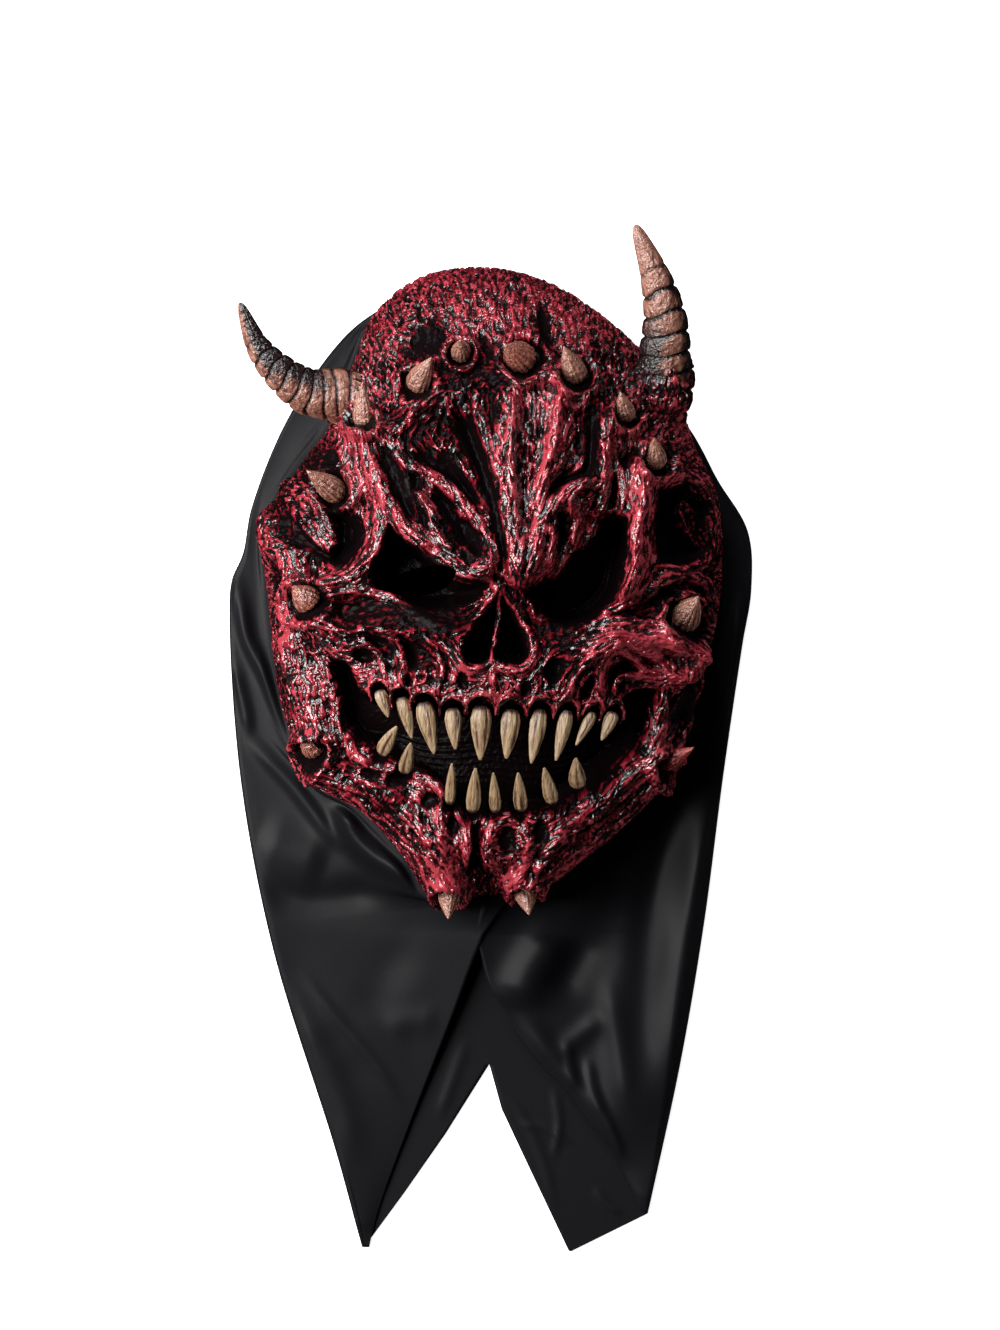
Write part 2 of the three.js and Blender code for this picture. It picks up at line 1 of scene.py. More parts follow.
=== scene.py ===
# The looks of a cast latex devil mask with its black cloth hood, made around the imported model.
# Shapes are worked out in millimetres and turned into metres when a mesh is made.
import math

import bmesh
import bpy
import numpy as np
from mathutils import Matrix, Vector


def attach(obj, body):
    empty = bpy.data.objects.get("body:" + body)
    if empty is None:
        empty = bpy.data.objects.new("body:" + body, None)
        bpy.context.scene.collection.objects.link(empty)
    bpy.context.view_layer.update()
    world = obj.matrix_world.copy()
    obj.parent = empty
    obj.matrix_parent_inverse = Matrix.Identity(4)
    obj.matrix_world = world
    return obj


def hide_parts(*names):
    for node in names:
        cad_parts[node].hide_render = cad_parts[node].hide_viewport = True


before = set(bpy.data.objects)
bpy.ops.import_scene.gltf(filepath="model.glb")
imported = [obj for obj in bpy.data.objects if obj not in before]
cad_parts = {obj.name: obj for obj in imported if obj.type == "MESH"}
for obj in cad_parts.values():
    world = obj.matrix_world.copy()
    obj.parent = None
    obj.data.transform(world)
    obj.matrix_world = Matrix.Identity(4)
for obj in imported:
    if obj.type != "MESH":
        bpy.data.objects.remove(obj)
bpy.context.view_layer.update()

MM = 0.001

# The photograph's view: straight down, with the long side of the picture upright
CAMERA_PLACE = (4.32, 38.07, 1400.0)
SENSOR = 36.0
LENS = 84.21

# The floor and the sky, and in metres the lights: place, target, size, power and colour
FLOOR_HALF = 12000.0
FLOOR_Z = -0.3
FLOOR_GLOW = 0.92
SKY_COLOUR = (0.8, 0.85, 0.95, 1)
SKY_STRENGTH = 0.012
LIGHTS = [
    ("window", (-0.78, 0.15, 0.84), (0, 0.02, 0.04), (0.6, 0.9), 29, (1, 0.98, 0.96)),
    ("skylight", (-0.2, 1.0, 0.85), (0, 0.05, 0.03), (0.6, 0.5), 13, (0.95, 0.98, 1)),
]

# The plain dome under the carving. Its rim lifts off the table at the chin and at the crown.
FACE_HEIGHT = 88.0
FULLNESS = 2.8  # exponent, higher for a flatter front and steeper sides
RIM_HEIGHT = 6.0
CHIN_LIFT = 14.0
CROWN_LIFT = 6.0
DOME_CENTRE = np.array([3.0, 76.0])
HALF_WIDTH = 102.0
HALF_LENGTH = 140.0
LATEX = 3.0  # thickness of the casting
FLAT_FRONT = 0.6  # up to this share of the radius carving moves the surface straight up
STEEP_SIDE = 0.96  # and from this share on square to the dome
# Outline of the rim from above
RIM = [
    (-1, -64), (-26, -64), (-39.5, -45.5), (-58, -26), (-79, -13.5), (-87.5, 7), (-95, 36.5), (-99.5, 67),
    (-101, 98.5), (-87, 124.5), (-71.5, 145), (-62.5, 169), (-52, 194.5), (-31.5, 211), (-3.5, 215.5),
    (24.5, 209.5), (47.5, 196), (68, 178), (84, 157), (91.5, 136), (101.5, 114), (104, 87), (101.5, 58),
    (94, 35), (86.5, 12.5), (77.5, -8), (61.5, -23.5), (42.5, -42.5), (26, -59),
]

# The grid of points over the face. The hollow's grid has every third one.
COARSER = 3
COLUMNS = 88 * COARSER
ROWS = 108 * COARSER
FRONT_ROUND = 0.83  # this share of the grid's radius is spread evenly over the front
FRONT_SHARE = 0.93  # which reaches this share of the dome's radius
HOLLOW_REACH = 9  # in points, how far the hollow looks for the lowest carving
CURVE_STEPS = 24  # between two given points of a smooth line
EDGE_SPACING = 2.5  # of the points on the edge of a sunken form

# Large forms: path, half width, height
MASSES = [
    ([(-48, 137), (-37, 112), (-23, 89), (-5, 78)], 12, 11),
    ([(-52, 133), (-44, 112), (-34, 97), (-27, 89)], 8, 13),
    ([(50, 138), (42, 117), (27, 104), (18, 80)], 10, 11),
    ([(9, 150), (8, 116), (13, 78)], 9, 12),
    ([(29, 150), (27, 128), (20, 106)], 9, 12),
    ([(18, 152), (17, 124), (14, 100)], 8, 8),
    ([(62, 120), (64, 102), (61, 86), (58, 72)], 7, 12),
    ([(-75, 61), (-62, 49), (-43, 55), (-21, 52), (-9, 45)], 8, 10),
    ([(42, 44), (56, 49), (70, 49), (81, 46), (79, 36)], 8, 12),
    ([(-84, 45), (-82, 23), (-76, 5)], 9, 6),
    ([(87, 32), (79, 10), (72, -5)], 6, 6),
    ([(-71, -5), (-47, -16), (-28, -35), (-17, -52)], 9, 8),
    ([(69, -9), (47, -28), (30, -41), (15, -52)], 9, 8),
    ([(-28, -35), (0, -40), (30, -35)], 8, 7),
    ([(-95, 103), (-94, 91), (-85, 84), (-83, 73)], 7, 5),
    ([(-45, 107), (-47, 90), (-56, 75), (-69, 70)], 7, 8),
    ([(-66, 124), (-31, 146), (0, 158), (37, 149), (68, 126)], 9, 6),
]
# Broad swellings: centre, radii, height
SWELLINGS = [((3, 80), (20, 18), 7), ((3, 32), (46, 15), 12)]

# Sunken forms: loop of the edge, depth below the plain dome, width of the slope
LEFT_EYE = [(-50, 70), (-52, 83), (-43, 99), (-25, 88), (-12, 76), (1, 73), (-4, 65), (-21, 60), (-38, 62)]
RIGHT_EYE = [
    (13, 71), (28, 77), (35, 87), (42, 91), (46, 101), (56, 103), (62, 99), (60, 82), (56, 66), (46, 56),
    (30, 54),
]
NOSE = [
    (4.5, 69), (-3, 58), (-10.5, 47.5), (-12, 42), (-8, 37.5), (4, 38), (13, 37.5), (17, 41), (15.5, 50),
    (11, 58),
]
MOUTH = [
    (-69, 40), (-66.5, 23), (-62.5, 6), (-51, 0), (-42, -9), (-28, -15), (-20, -25), (4, -29), (30, -25),
    (47, -16), (64, -6), (71, 10), (72, 28), (58, 27), (53, 21), (38, 21), (4, 22), (-9, 23), (-26, 27),
    (-46, 31), (-53, 27.5), (-57, 35), (-61.5, 40.5),
]
LEFT_TEMPLE = [(-84, 100), (-80, 88), (-62, 79), (-53, 88), (-53, 100), (-72, 108)]
RIGHT_TEMPLE = [(71, 112), (84, 118), (97, 110), (98, 92), (90, 80), (71, 82)]
SUNKEN = [
    (LEFT_EYE, 26, 8),
    (RIGHT_EYE, 26, 8),
    (NOSE, 11, 4),
    (MOUTH, 18, 5),
    (LEFT_TEMPLE, 12, 7),
    (RIGHT_TEMPLE, 11, 7),
]

# Small oval pits: centre, radii, turn in degrees, depth
PITS = [
    ((-8, 92), (4, 11), 28, 6), ((-27, 98), (2.5, 9), 28, 4), ((17.5, 93), (2.2, 9.5), -25, 6),
    ((-54, 42), (5, 3), -15, 6), ((-33.5, 42), (3.5, 6.5), 15, 6), ((-48.5, 48.5), (4.5, 2), -30, 4),
    ((27, 36), (5, 6), -30, 5), ((41.5, 28), (2.6, 7), -25, 6), ((53.5, 31), (3.6, 6), 0, 6),
    ((59, 37.4), (5, 2.8), -10, 6), ((-20, 33.5), (3, 4.5), 0, 4), ((-11.5, 31.5), (2.5, 4), 0, 3.5),
    ((15.5, 28), (2.5, 4), 0, 3.5), ((26.5, 32), (2.5, 4), 0, 3.5), ((-35, 31), (2, 4.5), 0, 4),
    ((-50, -6), (4.5, 3.5), 0, 4), ((-40, -10), (4, 3.5), 0, 4), ((-26, -20), (4.5, 3.5), 30, 4),
    ((-15.5, -30), (3, 6), 0, 4.5), ((-30, -29), (3, 5), -20, 4), ((7.5, -36), (4.5, 6.5), 0, 4),
    ((22, -32), (4, 5), -20, 3.5), ((36, -25), (4, 3), -35, 3.5), ((-39, -19), (4, 3), -35, 3),
    ((76, 69.5), (6, 3), -10, 6),
]

# Grooves between the forms: path, half width, depth
GROOVES = [
    ([(-16, 150), (-8, 134), (-2, 119), (3, 105), (6, 90), (6, 76)], 3.2, 8),
    ([(44, 148), (43, 130), (41, 119), (30, 114), (22, 102), (15, 88), (13, 80)], 2.6, 7),
    ([(52, 118), (52, 104)], 1.6, 4),
    ([(31, 104), (30, 90), (27, 82)], 1.8, 5),
    ([(-38, 130), (-31, 116), (-33, 106)], 2.4, 4),
    ([(-22, 128), (-12, 116), (-4, 103)], 2.2, 4),
    ([(22, 199), (23, 185), (23, 172)], 2.2, 2.6),
    ([(-33, 180), (-21, 175)], 5, 2),
    ([(-5, -28), (-7, -40), (-6, -53)], 3, 5),
    ([(-57, 132), (-66, 122), (-60, 107)], 3, 4),
    ([(65, 133), (56, 120), (58, 108)], 2.4, 4),
    ([(-88, 80), (-96, 72)], 3, 5),
    ([(-46, 131), (-42, 124), (-37.5, 113), (-34.5, 103.5), (-31.5, 95)], 3, 5),
    ([(-25, 112), (-17.5, 103.5), (-13.5, 94.5), (-9, 86)], 2.6, 5),
    ([(-32, 129), (-22, 122), (-14, 115), (-8, 106)], 2.4, 4),
    ([(78, 40), (84, 28), (80, 12)], 3, 4),
]

# Raised strands of flesh: path, half width, height
CHEEK_LOOP = [
    (74, 63), (72, 56), (77, 52), (81, 47.5), (81.5, 42), (78, 36.5), (71.5, 35), (66, 36.5), (61, 41),
    (53, 46),
]
STRANDS = [
    # left brow
    ([(-54, 137), (-49, 117), (-42, 103.5), (-34, 92.5), (-28, 89)], 5, 3.5),
    ([(-30.5, 110.5), (-24, 102.5), (-23, 93.5), (-16, 87)], 3.2, 3),
    ([(-29, 120.5), (-20.5, 116), (-13, 109), (-5.5, 99), (0.5, 90.5)], 3.4, 3),
    ([(-28, 89), (-22, 83), (-14.5, 77), (-5.5, 76), (1.5, 82.5), (0.5, 90.5)], 4.4, 3),
    ([(-40, 128), (-33, 122), (-29, 120)], 3, 2),
    # wedge between the brows and its tip
    ([(-5.5, 152), (-1, 134), (5, 113), (9, 92), (10.5, 77)], 4, 2.5),
    ([(24, 124), (21.5, 108), (19.5, 99.5), (14.5, 88), (12.5, 78)], 3.4, 2.5),
    ([(10, 76), (15, 73), (21.5, 76)], 4.6, 2),
    ([(10, 150), (9, 130), (10, 112), (12, 98)], 3, 2),
    ([(30, 152), (27, 136), (24, 122)], 3.4, 2.5),
    # right brow
    ([(17, 76), (19.5, 87), (21, 97), (25.5, 104.5), (33, 111), (41, 115)], 4.6, 4),
    ([(25, 97), (27, 89), (26, 80)], 2.6, 3),
    ([(34, 108), (37, 99), (36, 90)], 3.6, 4),
    ([(49, 127), (49.5, 114), (47, 103)], 3.4, 3.5),
    ([(54.5, 123), (56, 112), (55, 104)], 2.8, 3),
    ([(64.5, 118), (66, 111), (63.5, 102), (61.5, 94.5), (63.5, 86), (62.5, 78), (56, 65)], 4.4, 5),
    # left temple
    ([(-92, 102), (-90.5, 91), (-84, 83), (-80, 72)], 6.5, 4.5),
    ([(-48.5, 106), (-46.5, 94.5), (-50, 84), (-58, 77), (-70, 74)], 4.4, 3.5),
    ([(-89, 117), (-82, 109), (-75.5, 100), (-69, 90)], 9.5, 3),
    ([(-61, 137.5), (-57, 122), (-58, 108)], 6.5, 3.5),
    # right temple
    ([(73, 114), (84.5, 121), (97, 113), (99, 98), (95, 84), (84, 79), (73, 80)], 3, 1.5),
    ([(86, 108), (90, 100), (93, 93)], 7, -4),
    # cheekbones
    ([(-60, 69), (-52.5, 69), (-41, 66.5), (-30, 60), (-23, 56), (-14.5, 53.5), (-6.5, 56)], 2.8, 2),
    ([(-80, 74), (-85, 58), (-84.5, 44), (-79, 29.5), (-75, 15.5), (-73, 6)], 6.5, 3.5),
    ([(-66, 55), (-56, 54), (-45, 58)], 4, 2),
    ([(49, 60.5), (59.5, 64), (69, 70.5), (78, 76), (91.5, 74.5), (96, 66)], 4, 4),
    (CHEEK_LOOP, 2.6, 4),
    ([(78, 36), (72, 33), (64.5, 33.5), (58, 33.5), (54, 31.5), (53, 26)], 2, 4),
    ([(63, 47), (70, 50), (76, 47)], 4, 2.5),
    ([(52, 51), (62, 47), (70, 42), (74, 39)], 3.4, 3),
    ([(44, 56), (56, 57), (68, 56)], 3.2, 3),
    # from the cheekbones to the upper gum
    ([(-51, 55), (-43, 51), (-38, 43), (-37, 31)], 3.4, 2.5),
    ([(-61, 46), (-53.5, 47), (-47, 43), (-44.5, 32)], 2, 2),
    ([(-33.5, 53.5), (-24.5, 46), (-20, 38), (-22, 28)], 2.4, 2),
    ([(-23, 50), (-17, 43), (-14, 34)], 1.8, 1.5),
    ([(51, 47), (45, 42), (38.5, 36.5), (35, 30), (33, 22)], 2.4, 2.5),
    ([(58, 50), (54, 46.5), (49.5, 42), (47.5, 36), (47, 29), (48, 21)], 2.5, 3),
    ([(36, 47.5), (24.5, 41), (19, 34)], 1.6, 1.5),
    # left jaw and chin
    ([(-80, 0.5), (-61, -11), (-46, -26), (-31, -44), (-25.5, -54)], 4, 2.5),
    ([(-61, 8), (-57.5, 0), (-46, -4), (-34, -8), (-24, -13), (-17, -22)], 3, 2.5),
    ([(-20.5, -22), (-21.5, -30), (-18.5, -42)], 2.4, 2),
    ([(-14.5, -24), (-9.5, -33.5), (-10, -46)], 2.4, 2),
    ([(-56, -6), (-44, -14), (-33, -24), (-25, -36)], 2.4, 1.5),
    ([(7, -26), (1, -31), (-0.5, -40.5), (4, -49)], 3, 2.5),
    ([(7, -26), (15, -31.5), (16, -42), (10, -49)], 3, 2.5),
    # right jaw
    ([(74, 26), (71.5, 10.5), (67, 0), (55, -11.5), (42.5, -22), (29.5, -32), (19, -45)], 3.4, 3.5),
    ([(84, 18), (77, 0), (62, -16), (45, -34), (28, -50)], 4, 1.5),
    # crown
    ([(20, 164), (28, 158), (33, 148)], 3, 2.5),
    ([(3, 166), (14, 156), (24, 166)], 2.4, 2),
    ([(45, 156), (40, 148), (34, 146)], 2.4, 2),
    ([(-31, 148), (-36, 140), (-45, 137)], 3, 2),
]
# Rims drawn over the sunken forms
NOSE_RIM = [
    (4.5, 71), (-4, 60), (-12.5, 49), (-14, 42.5), (-10.5, 37), (-3, 36.5), (2, 39), (7, 36.5), (14, 36.5),
    (18.5, 41), (17.5, 50), (11.5, 60), (4.5, 71),
]
RIMS = [
    (NOSE_RIM, 2.8, 3.6),
    ([(4.5, 69), (3.5, 56), (1.5, 44), (1, 37), (2.2, 28)], 1.9, 3.0),
]
MOUTH_WRINKLES = (-14, 8, 3.2, 1.1)  # lowest and highest place, spacing and height

# Teeth and spikes as in the solid: root, tip and width, and a spike's length
UPPER_TEETH = [
    ((-47, 27.5), (-43, 16), 5.4), ((-37.5, 24.5), (-33, 7), 6), ((-28, 22.5), (-23.5, 0.5), 7.8),
    ((-15.5, 20), (-14.5, 2.5), 7), ((-3.5, 21), (-4, -2), 8.6), ((9.5, 19.5), (7, -1.5), 8),
    ((21.5, 19.5), (17.5, -3.5), 7), ((33, 19), (28, -2.5), 6.2), ((44, 18), (36.5, 4), 4.6),
    ((53, 18), (47.5, 6), 5.6),
]
LOWER_TEETH = [
    ((-46.5, 0), (-39.5, 12), 6.6), ((-36.5, -8), (-33.5, 5), 6.2), ((-17, -21), (-16, -3.5), 5),
    ((-7.5, -24.5), (-6, -5.5), 6.4), ((2.5, -24.5), (1.5, -7.5), 5), ((13.5, -24), (12, -7.5), 5.8),
    ((27, -21), (23, -5.5), 6.2), ((37.5, -14.5), (36.5, -1.5), 7),
]
SPIKES = [
    ((-52.5, 139.5), (-54, 155), 9, 19), ((-31, 157), (-26, 165.5), 11, 16),
    ((-12.5, 170.5), (-12.5, 173.5), 9, 12), ((14.5, 168), (8.5, 171.5), 14, 17),
    ((37, 160.5), (32.5, 170.5), 11, 15), ((58, 143.5), (56, 151.5), 9, 14),
    ((70.5, 124), (70, 132), 10, 15), ((-66, 112), (-75.5, 119), 11, 16), ((-75.5, 65), (-82, 70), 12, 15),
    ((82.5, 57), (87.5, 65), 14, 16), ((-75, 2.5), (-78.5, 5.5), 11, 12),
    ((73.5, -2.5), (85.5, 1.5), 9, 17), ((-17.5, -59), (-18, -69), 10, 15),
    ((15, -57.5), (16.5, -67.5), 10, 15),
]
RED_SPIKES = [(11, 0.9), (8, 0.3), (3, 0.3), (10, 0.3)]  # which ones have a red wash, and its strength
# Width along a thorn: share of its length, share of its full width
SPIKE_PROFILE = [
    (-0.1, 0.3), (0, 0.45), (0.08, 0.8), (0.2, 1), (0.4, 0.94), (0.6, 0.7), (0.8, 0.4), (0.93, 0.18),
    (1, 0.04),
]
TOOTH_PROFILE = [
    (-0.1, 0.4), (0, 0.5), (0.07, 0.82), (0.26, 1), (0.5, 0.87), (0.75, 0.57), (0.92, 0.32), (1, 0.12),
]
THORN_RINGS = 44
THORN_SIDES = 56
SPIKE_DEPTH = 1.0  # of a spike's root under the skin
SPIKE_REACH = 1.12  # how much farther the tips lean out than the solid's
BOSS_HEIGHT = 5.0  # of the ring of flesh round a spike
SEAT_DEPTH = 2.5  # of the dark seat in that ring
TEETH_STAND_OUT = 5.0  # height of the tips over the plain dome
TOOTH_LEAN = 2.5  # how much lower the roots are
SOCKET_SHARE = 0.75  # half width of a tooth's socket, as a share of the tooth's width
SOCKET_HALF_LENGTH = 5.5
SOCKET_DEPTH = 6
GUM = (1.5, 1.2)  # half width and height of the scallop over a tooth's root

# Eye holes: centre, radii, turn in degrees
EYE_HOLES = [((-29, 74), (15, 6), 12), ((39, 74), (14, 8), 50)]
HOLE_SIDES = 64
HOLE_SPAN = (-10.0, 200.0)  # lowest and highest end of the cut

# The net of cells in the flesh. Its strings follow the strands, and away from them they point to one place.
LARGE_CELL = 4.4
SMALL_CELL = 2.6
CROWN_CELL = 8.0
PIT_DEPTH = 2.1
SMALL_PIT_DEPTH = 0.95
NET_SWAY = 2.4  # how far the rows of cells sway
STRINGS_MEET = (11.0, 56.0)
INWARD_FLOW = 0.16  # strength of that direction, where a strand's is 1
FOREHEAD = (95, 140)  # the forehead begins at the first height on the face and is whole at the second
CROWN = (160, 180)
STRING_SCALE = 640  # waves of the noise to the metre
STRING_STEPS = (-2.1, -1.4, -0.7, 0, 0.7, 1.4, 2.1)  # places along a string at which the noise is taken
STRING_REACH = (0.6, 0.5, 1.1)  # how far apart they are: least, more on a strand and more on the crown
STRING_SWAY = (190, 1.5)  # waves to the metre, and swing in radians
STRING_EDGE = (0.41, 0.59)  # the noise at a string's foot and at its top
STRING_MIDDLE = 0.55  # share of a string's height over which it adds red, and under which it takes red away
STRING_PAINT = (0.8, 1.4)  # how much red that is, at least and at most
STRING_DEPTH = 0.8
DOWNWARD = 0.38  # how far the noise is squeezed along Z, which draws it out down the steep sides
SPECKLE = 0.4  # how far fine noise breaks up the paint
FACETS = 0.7  # height of that noise in the relief, where a string's is 1
SMOOTH_SOOT = (-0.2, 0.35, 0.2, 1.0)  # paint at which the grain starts and is whole, and its depth there

# Red paint on the flesh: the even coat, and more on crests for each millimetre, in patches and on the crown
EVEN_RED = 0.76
CREST_RED = 0.09
PATCHY_RED = 0.45
CROWN_RED = 0.1
LEAST_RED = -0.05  # paint on the net in the darkest hollows
LEAST_SOFTNESS = 0.12  # how gently the paint levels out at that
DULL_PAINT = 0.2  # where the red is less than this, the surface is dull

# Broad places with more black paint and painted shade, or with less black paint and painted light where the
# strength is below zero: centre, radii, turn, strength
DARK_PAINT_WEAR_SHADE_AND_LIGHT = [
    # under the eyes and beside the nose
    ((-9, 66), (8, 7), 0, 0.52), ((22, 65), (8, 7), 0, 0.45), ((28, 56), (16, 7), 10, 0.7),
    ((-32, 60), (28, 6), -6, 0.95), ((-50, 54), (12, 7), 0, 0.7), ((-62, 51), (8, 6), 0, 0.4),
    ((-20, 49), (13, 8), -30, 0.52), ((32, 50), (12, 8), 20, 0.45), ((-67, 74), (6, 5), 0, 0.3),
    ((34, 37), (7, 8), 0, 0.38), ((0, 30), (7, 4), 0, 0.19), ((-86, 34), (5, 11), 0, 0.6),
    ((-25, 38), (9, 7), 0, 0.3), ((43, 38), (8, 6), 0, 0.3),
    # brows and the gaps between them
    ((-26, 137), (18, 12), -50, 0.45), ((-38, 114), (5, 15), 25, 0.45), ((-11, 84), (6, 9), 30, 0.9),
    ((-2, 141), (5, 10), 0, 0.3), ((-12, 130), (6, 22), 22, 0.38), ((-57, 148), (7, 5), 0, 0.22),
    ((43, 132), (5, 18), 5, 0.6), ((4, 152), (6, 12), 10, 0.22),
    # forehead and crown
    ((-6, 161), (20, 8), 0, 0.65), ((-20, 172), (10, 5), 0, 0.11), ((24, 180), (3, 16), 0, 0.38),
    ((-33, 182), (12, 9), 20, 0.3),
    # temples, cheeks and jaw
    ((-76, 128), (13, 9), -45, 0.52), ((-92, 82), (5, 6), 0, 0.38), ((-84, 95), (4, 9), 20, 0.3),
    ((90, 100), (12, 18), 0, 0.38), ((99, 40), (9, 50), 0, 0.6), ((70, 61), (8, 4), 10, 0.5),
    ((70, 36), (14, 4), 0, -0.4), ((85, 20), (7, 20), 0, 0.3), ((-52, -10), (16, 7), -40, 0.22),
    ((-38, -20), (6, 6), 0, 0.3), ((-36, -2), (10, 7), -30, 0.3), ((45, -18), (14, 7), 38, 0.5),
    ((-42, -14), (9, 6), -30, 0.35), ((-68, 6), (7, 7), 0, 0.3), ((15, -33), (6, 5), 0, 0.3),
    ((-90, 114), (9, 18), 0, 0.5),
    # worn places and painted light
    ((25, 138), (10, 20), 5, -0.4), ((15, 105), (5, 14), 0, -0.4), ((10, 195), (26, 12), 0, -0.35),
    ((36, 177), (9, 6), 0, -0.3), ((60, 123), (11, 12), 0, -0.8), ((62, 92), (4, 14), 0, -0.2),
    ((66, 44), (14, 8), 0, -0.9), ((76, 58), (6, 7), 0, -0.4), ((85, 150), (5, 14), 0, -0.6),
    ((-84, 58), (4, 12), 0, -0.8), ((-57, 120), (5, 12), 20, -0.4), ((-52, 134), (8, 8), 0, -0.3),
    ((-20, -16), (10, 9), 0, -0.6), ((-58, -32), (6, 8), -40, -0.5), ((8, -47), (8, 8), 0, -0.7),
    ((-17, -50), (8, 8), 0, -0.7), ((-17, 171), (5, 5), 0, -0.3), ((-42, 155), (7, 5), 0, -0.3),
    ((-74, 22), (4, 12), 0, -0.25), ((0, 70), (4, 5), 0, -0.4), ((-30, 30), (6, 4), 0, -0.3),
]

# Colours, with the place of each in its ramp
FLESH_COLOURS = [
    (0.0, (0.003, 0.0015, 0.0018)),
    (0.1, (0.009, 0.002, 0.003)),
    (0.25, (0.035, 0.002, 0.003)),
    (0.5, (0.095, 0.004, 0.008)),
    (0.78, (0.2, 0.011, 0.02)),
    (1.0, (0.31, 0.032, 0.045)),
]
HORN_COLOURS = [
    (0.0, (0.28, 0.125, 0.088)),
    (0.22, (0.18, 0.07, 0.046)),
    (0.5, (0.07, 0.026, 0.017)),
    (0.8, (0.008, 0.004, 0.004)),
]
TOOTH_COLOURS = [
    (0.0, (0.25, 0.17, 0.096)),
    (0.22, (0.15, 0.085, 0.042)),
    (0.5, (0.05, 0.02, 0.012)),
    (1.0, (0.01, 0.006, 0.004)),
]
RED_WASH = (0.9, 0.12, 0.16, 1)
CLOTH_COLOUR = (0.005, 0.005, 0.0063, 1)

# Horns: centre line, radius at the root and of the blunt tip, taper, number of rings, the share of the length
# that the flesh climbs to, and dark paint with painted shade: the side it faces and the shares of the length
# it lies between
HORNS = {
    "left_horn": (
        [(-56, 148, 34), (-63, 155, 40), (-79, 157, 48), (-90, 164, 56), (-99, 174, 62), (-107, 193, 70)],
        13.5, 1.8, 1.3, 10, 0.15,
        [((0.6, 0.78, 0.3), 0.2, 1.4), ((0, 0.6, -0.8), -1, 1), ((0.5, 0.3, 0.8), 0.45, 1.4)],
    ),
    "right_horn": (
        [(70.5, 146, 30), (75, 159, 40), (76, 175, 50), (75.5, 188, 58), (71.5, 203, 65), (62, 226, 72)],
        13.3, 2.2, 1.8, 8, 0.3,
        [((0.95, 0.1, -0.5), -1, 0.9), ((-0.9, -0.3, 0.1), -1, 0.65)],
    ),
}
HORN_STEP = 0.45
HORN_SIDES = 88
HORN_SLANT = 0.07  # how far the rings slant, as a share of the length
RINGED_SHARE = 0.78  # of the length, from the root up
RING_DEPTH = 1.3  # of the grooves between rings at the root
RING_BULGE = 0.05  # how far a ring swells, as a share of the radius
CRACK_DEPTH = 0.45
FINE_CRACK_DEPTH = 0.2
LEAST_RADIUS = 0.25
TIP_ROUNDING = 50  # exponent, higher for a blunter tip
FLESH_THICKNESS = 1.6

# Cloth: thickness, heights over the table and the rounded fold down each side
CLOTH = 0.5
BACK_HEIGHT = 0.5  # of the back layer's middle
APEX_HEIGHT = 14.0  # of the hem at the throat
TIP_HEIGHT = 2.2  # of the hem at the flap's tip
LEAST_HEIGHT = 2.0  # folds press the cloth no lower
CLIMB = 2.2  # exponent of its rise from the fold to the hem, and of the hem's from the tip to the throat
FOLD_RADIUS = 1.7
FOLD_STEPS = 6
FLAP_ROWS = 90
RING_ROWS = 200
ACROSS = 62
TUCK_STEPS = 6
# How the front layer meets the casting's rim
RIM_CLEARANCE = 2.5  # from the rim out to where the cloth turns in
HEM = 9.0  # how far it runs in under the rim
LIP_GAP = 1.0  # between it and the rim above
LEAST_WALL = 5.0  # least width from the fold to where it turns in under the rim
CHIN_LAP = 5.0  # how far each half passes the middle at the chin
LAP_TURN = 0.15  # radians round from the chin over which that ends
THROAT_STEP = 0.8  # how much lower the right half lies at the throat
THROAT_Y = -80.0
# The fold line down both sides from the left tip to the right one, the hems and the neck
CLOTH_SIDES = [
    (-57.5, -223.5), (-69.5, -179.5), (-97.5, -89.5), (-112, -13.5), (-117, 57.5), (-116, 76), (-111, 88),
    (-107, 109), (-89, 152), (-60.5, 190), (-34, 204), (0, 209), (34, 200), (66, 173), (90, 143),
    (102, 121), (115.5, 98), (117, 72), (113, 47), (104.5, -11), (96, -76.5), (85.5, -139), (70.5, -208.5),
]
LEFT_HEM = [(-54.5, -223.5), (-50.5, -207), (-37, -170), (-17, -119), (-7.5, -93.5), (-2, -80)]
RIGHT_HEM = [
    (67.5, -206), (61, -192), (53, -177.5), (40, -161.5), (33, -152), (24.5, -143.5), (13, -129), (6, -117),
    (-1, -103.5), (-4.5, -90), (-7, -80),
]
NECK_LEFT = [(-56.5, -223.5), (-38.5, -199), (-20, -172.5), (-0.5, -141.5)]
NECK_RIGHT = [(70, -209), (35.5, -226), (16.5, -186), (5, -161.5), (-0.5, -141.5)]
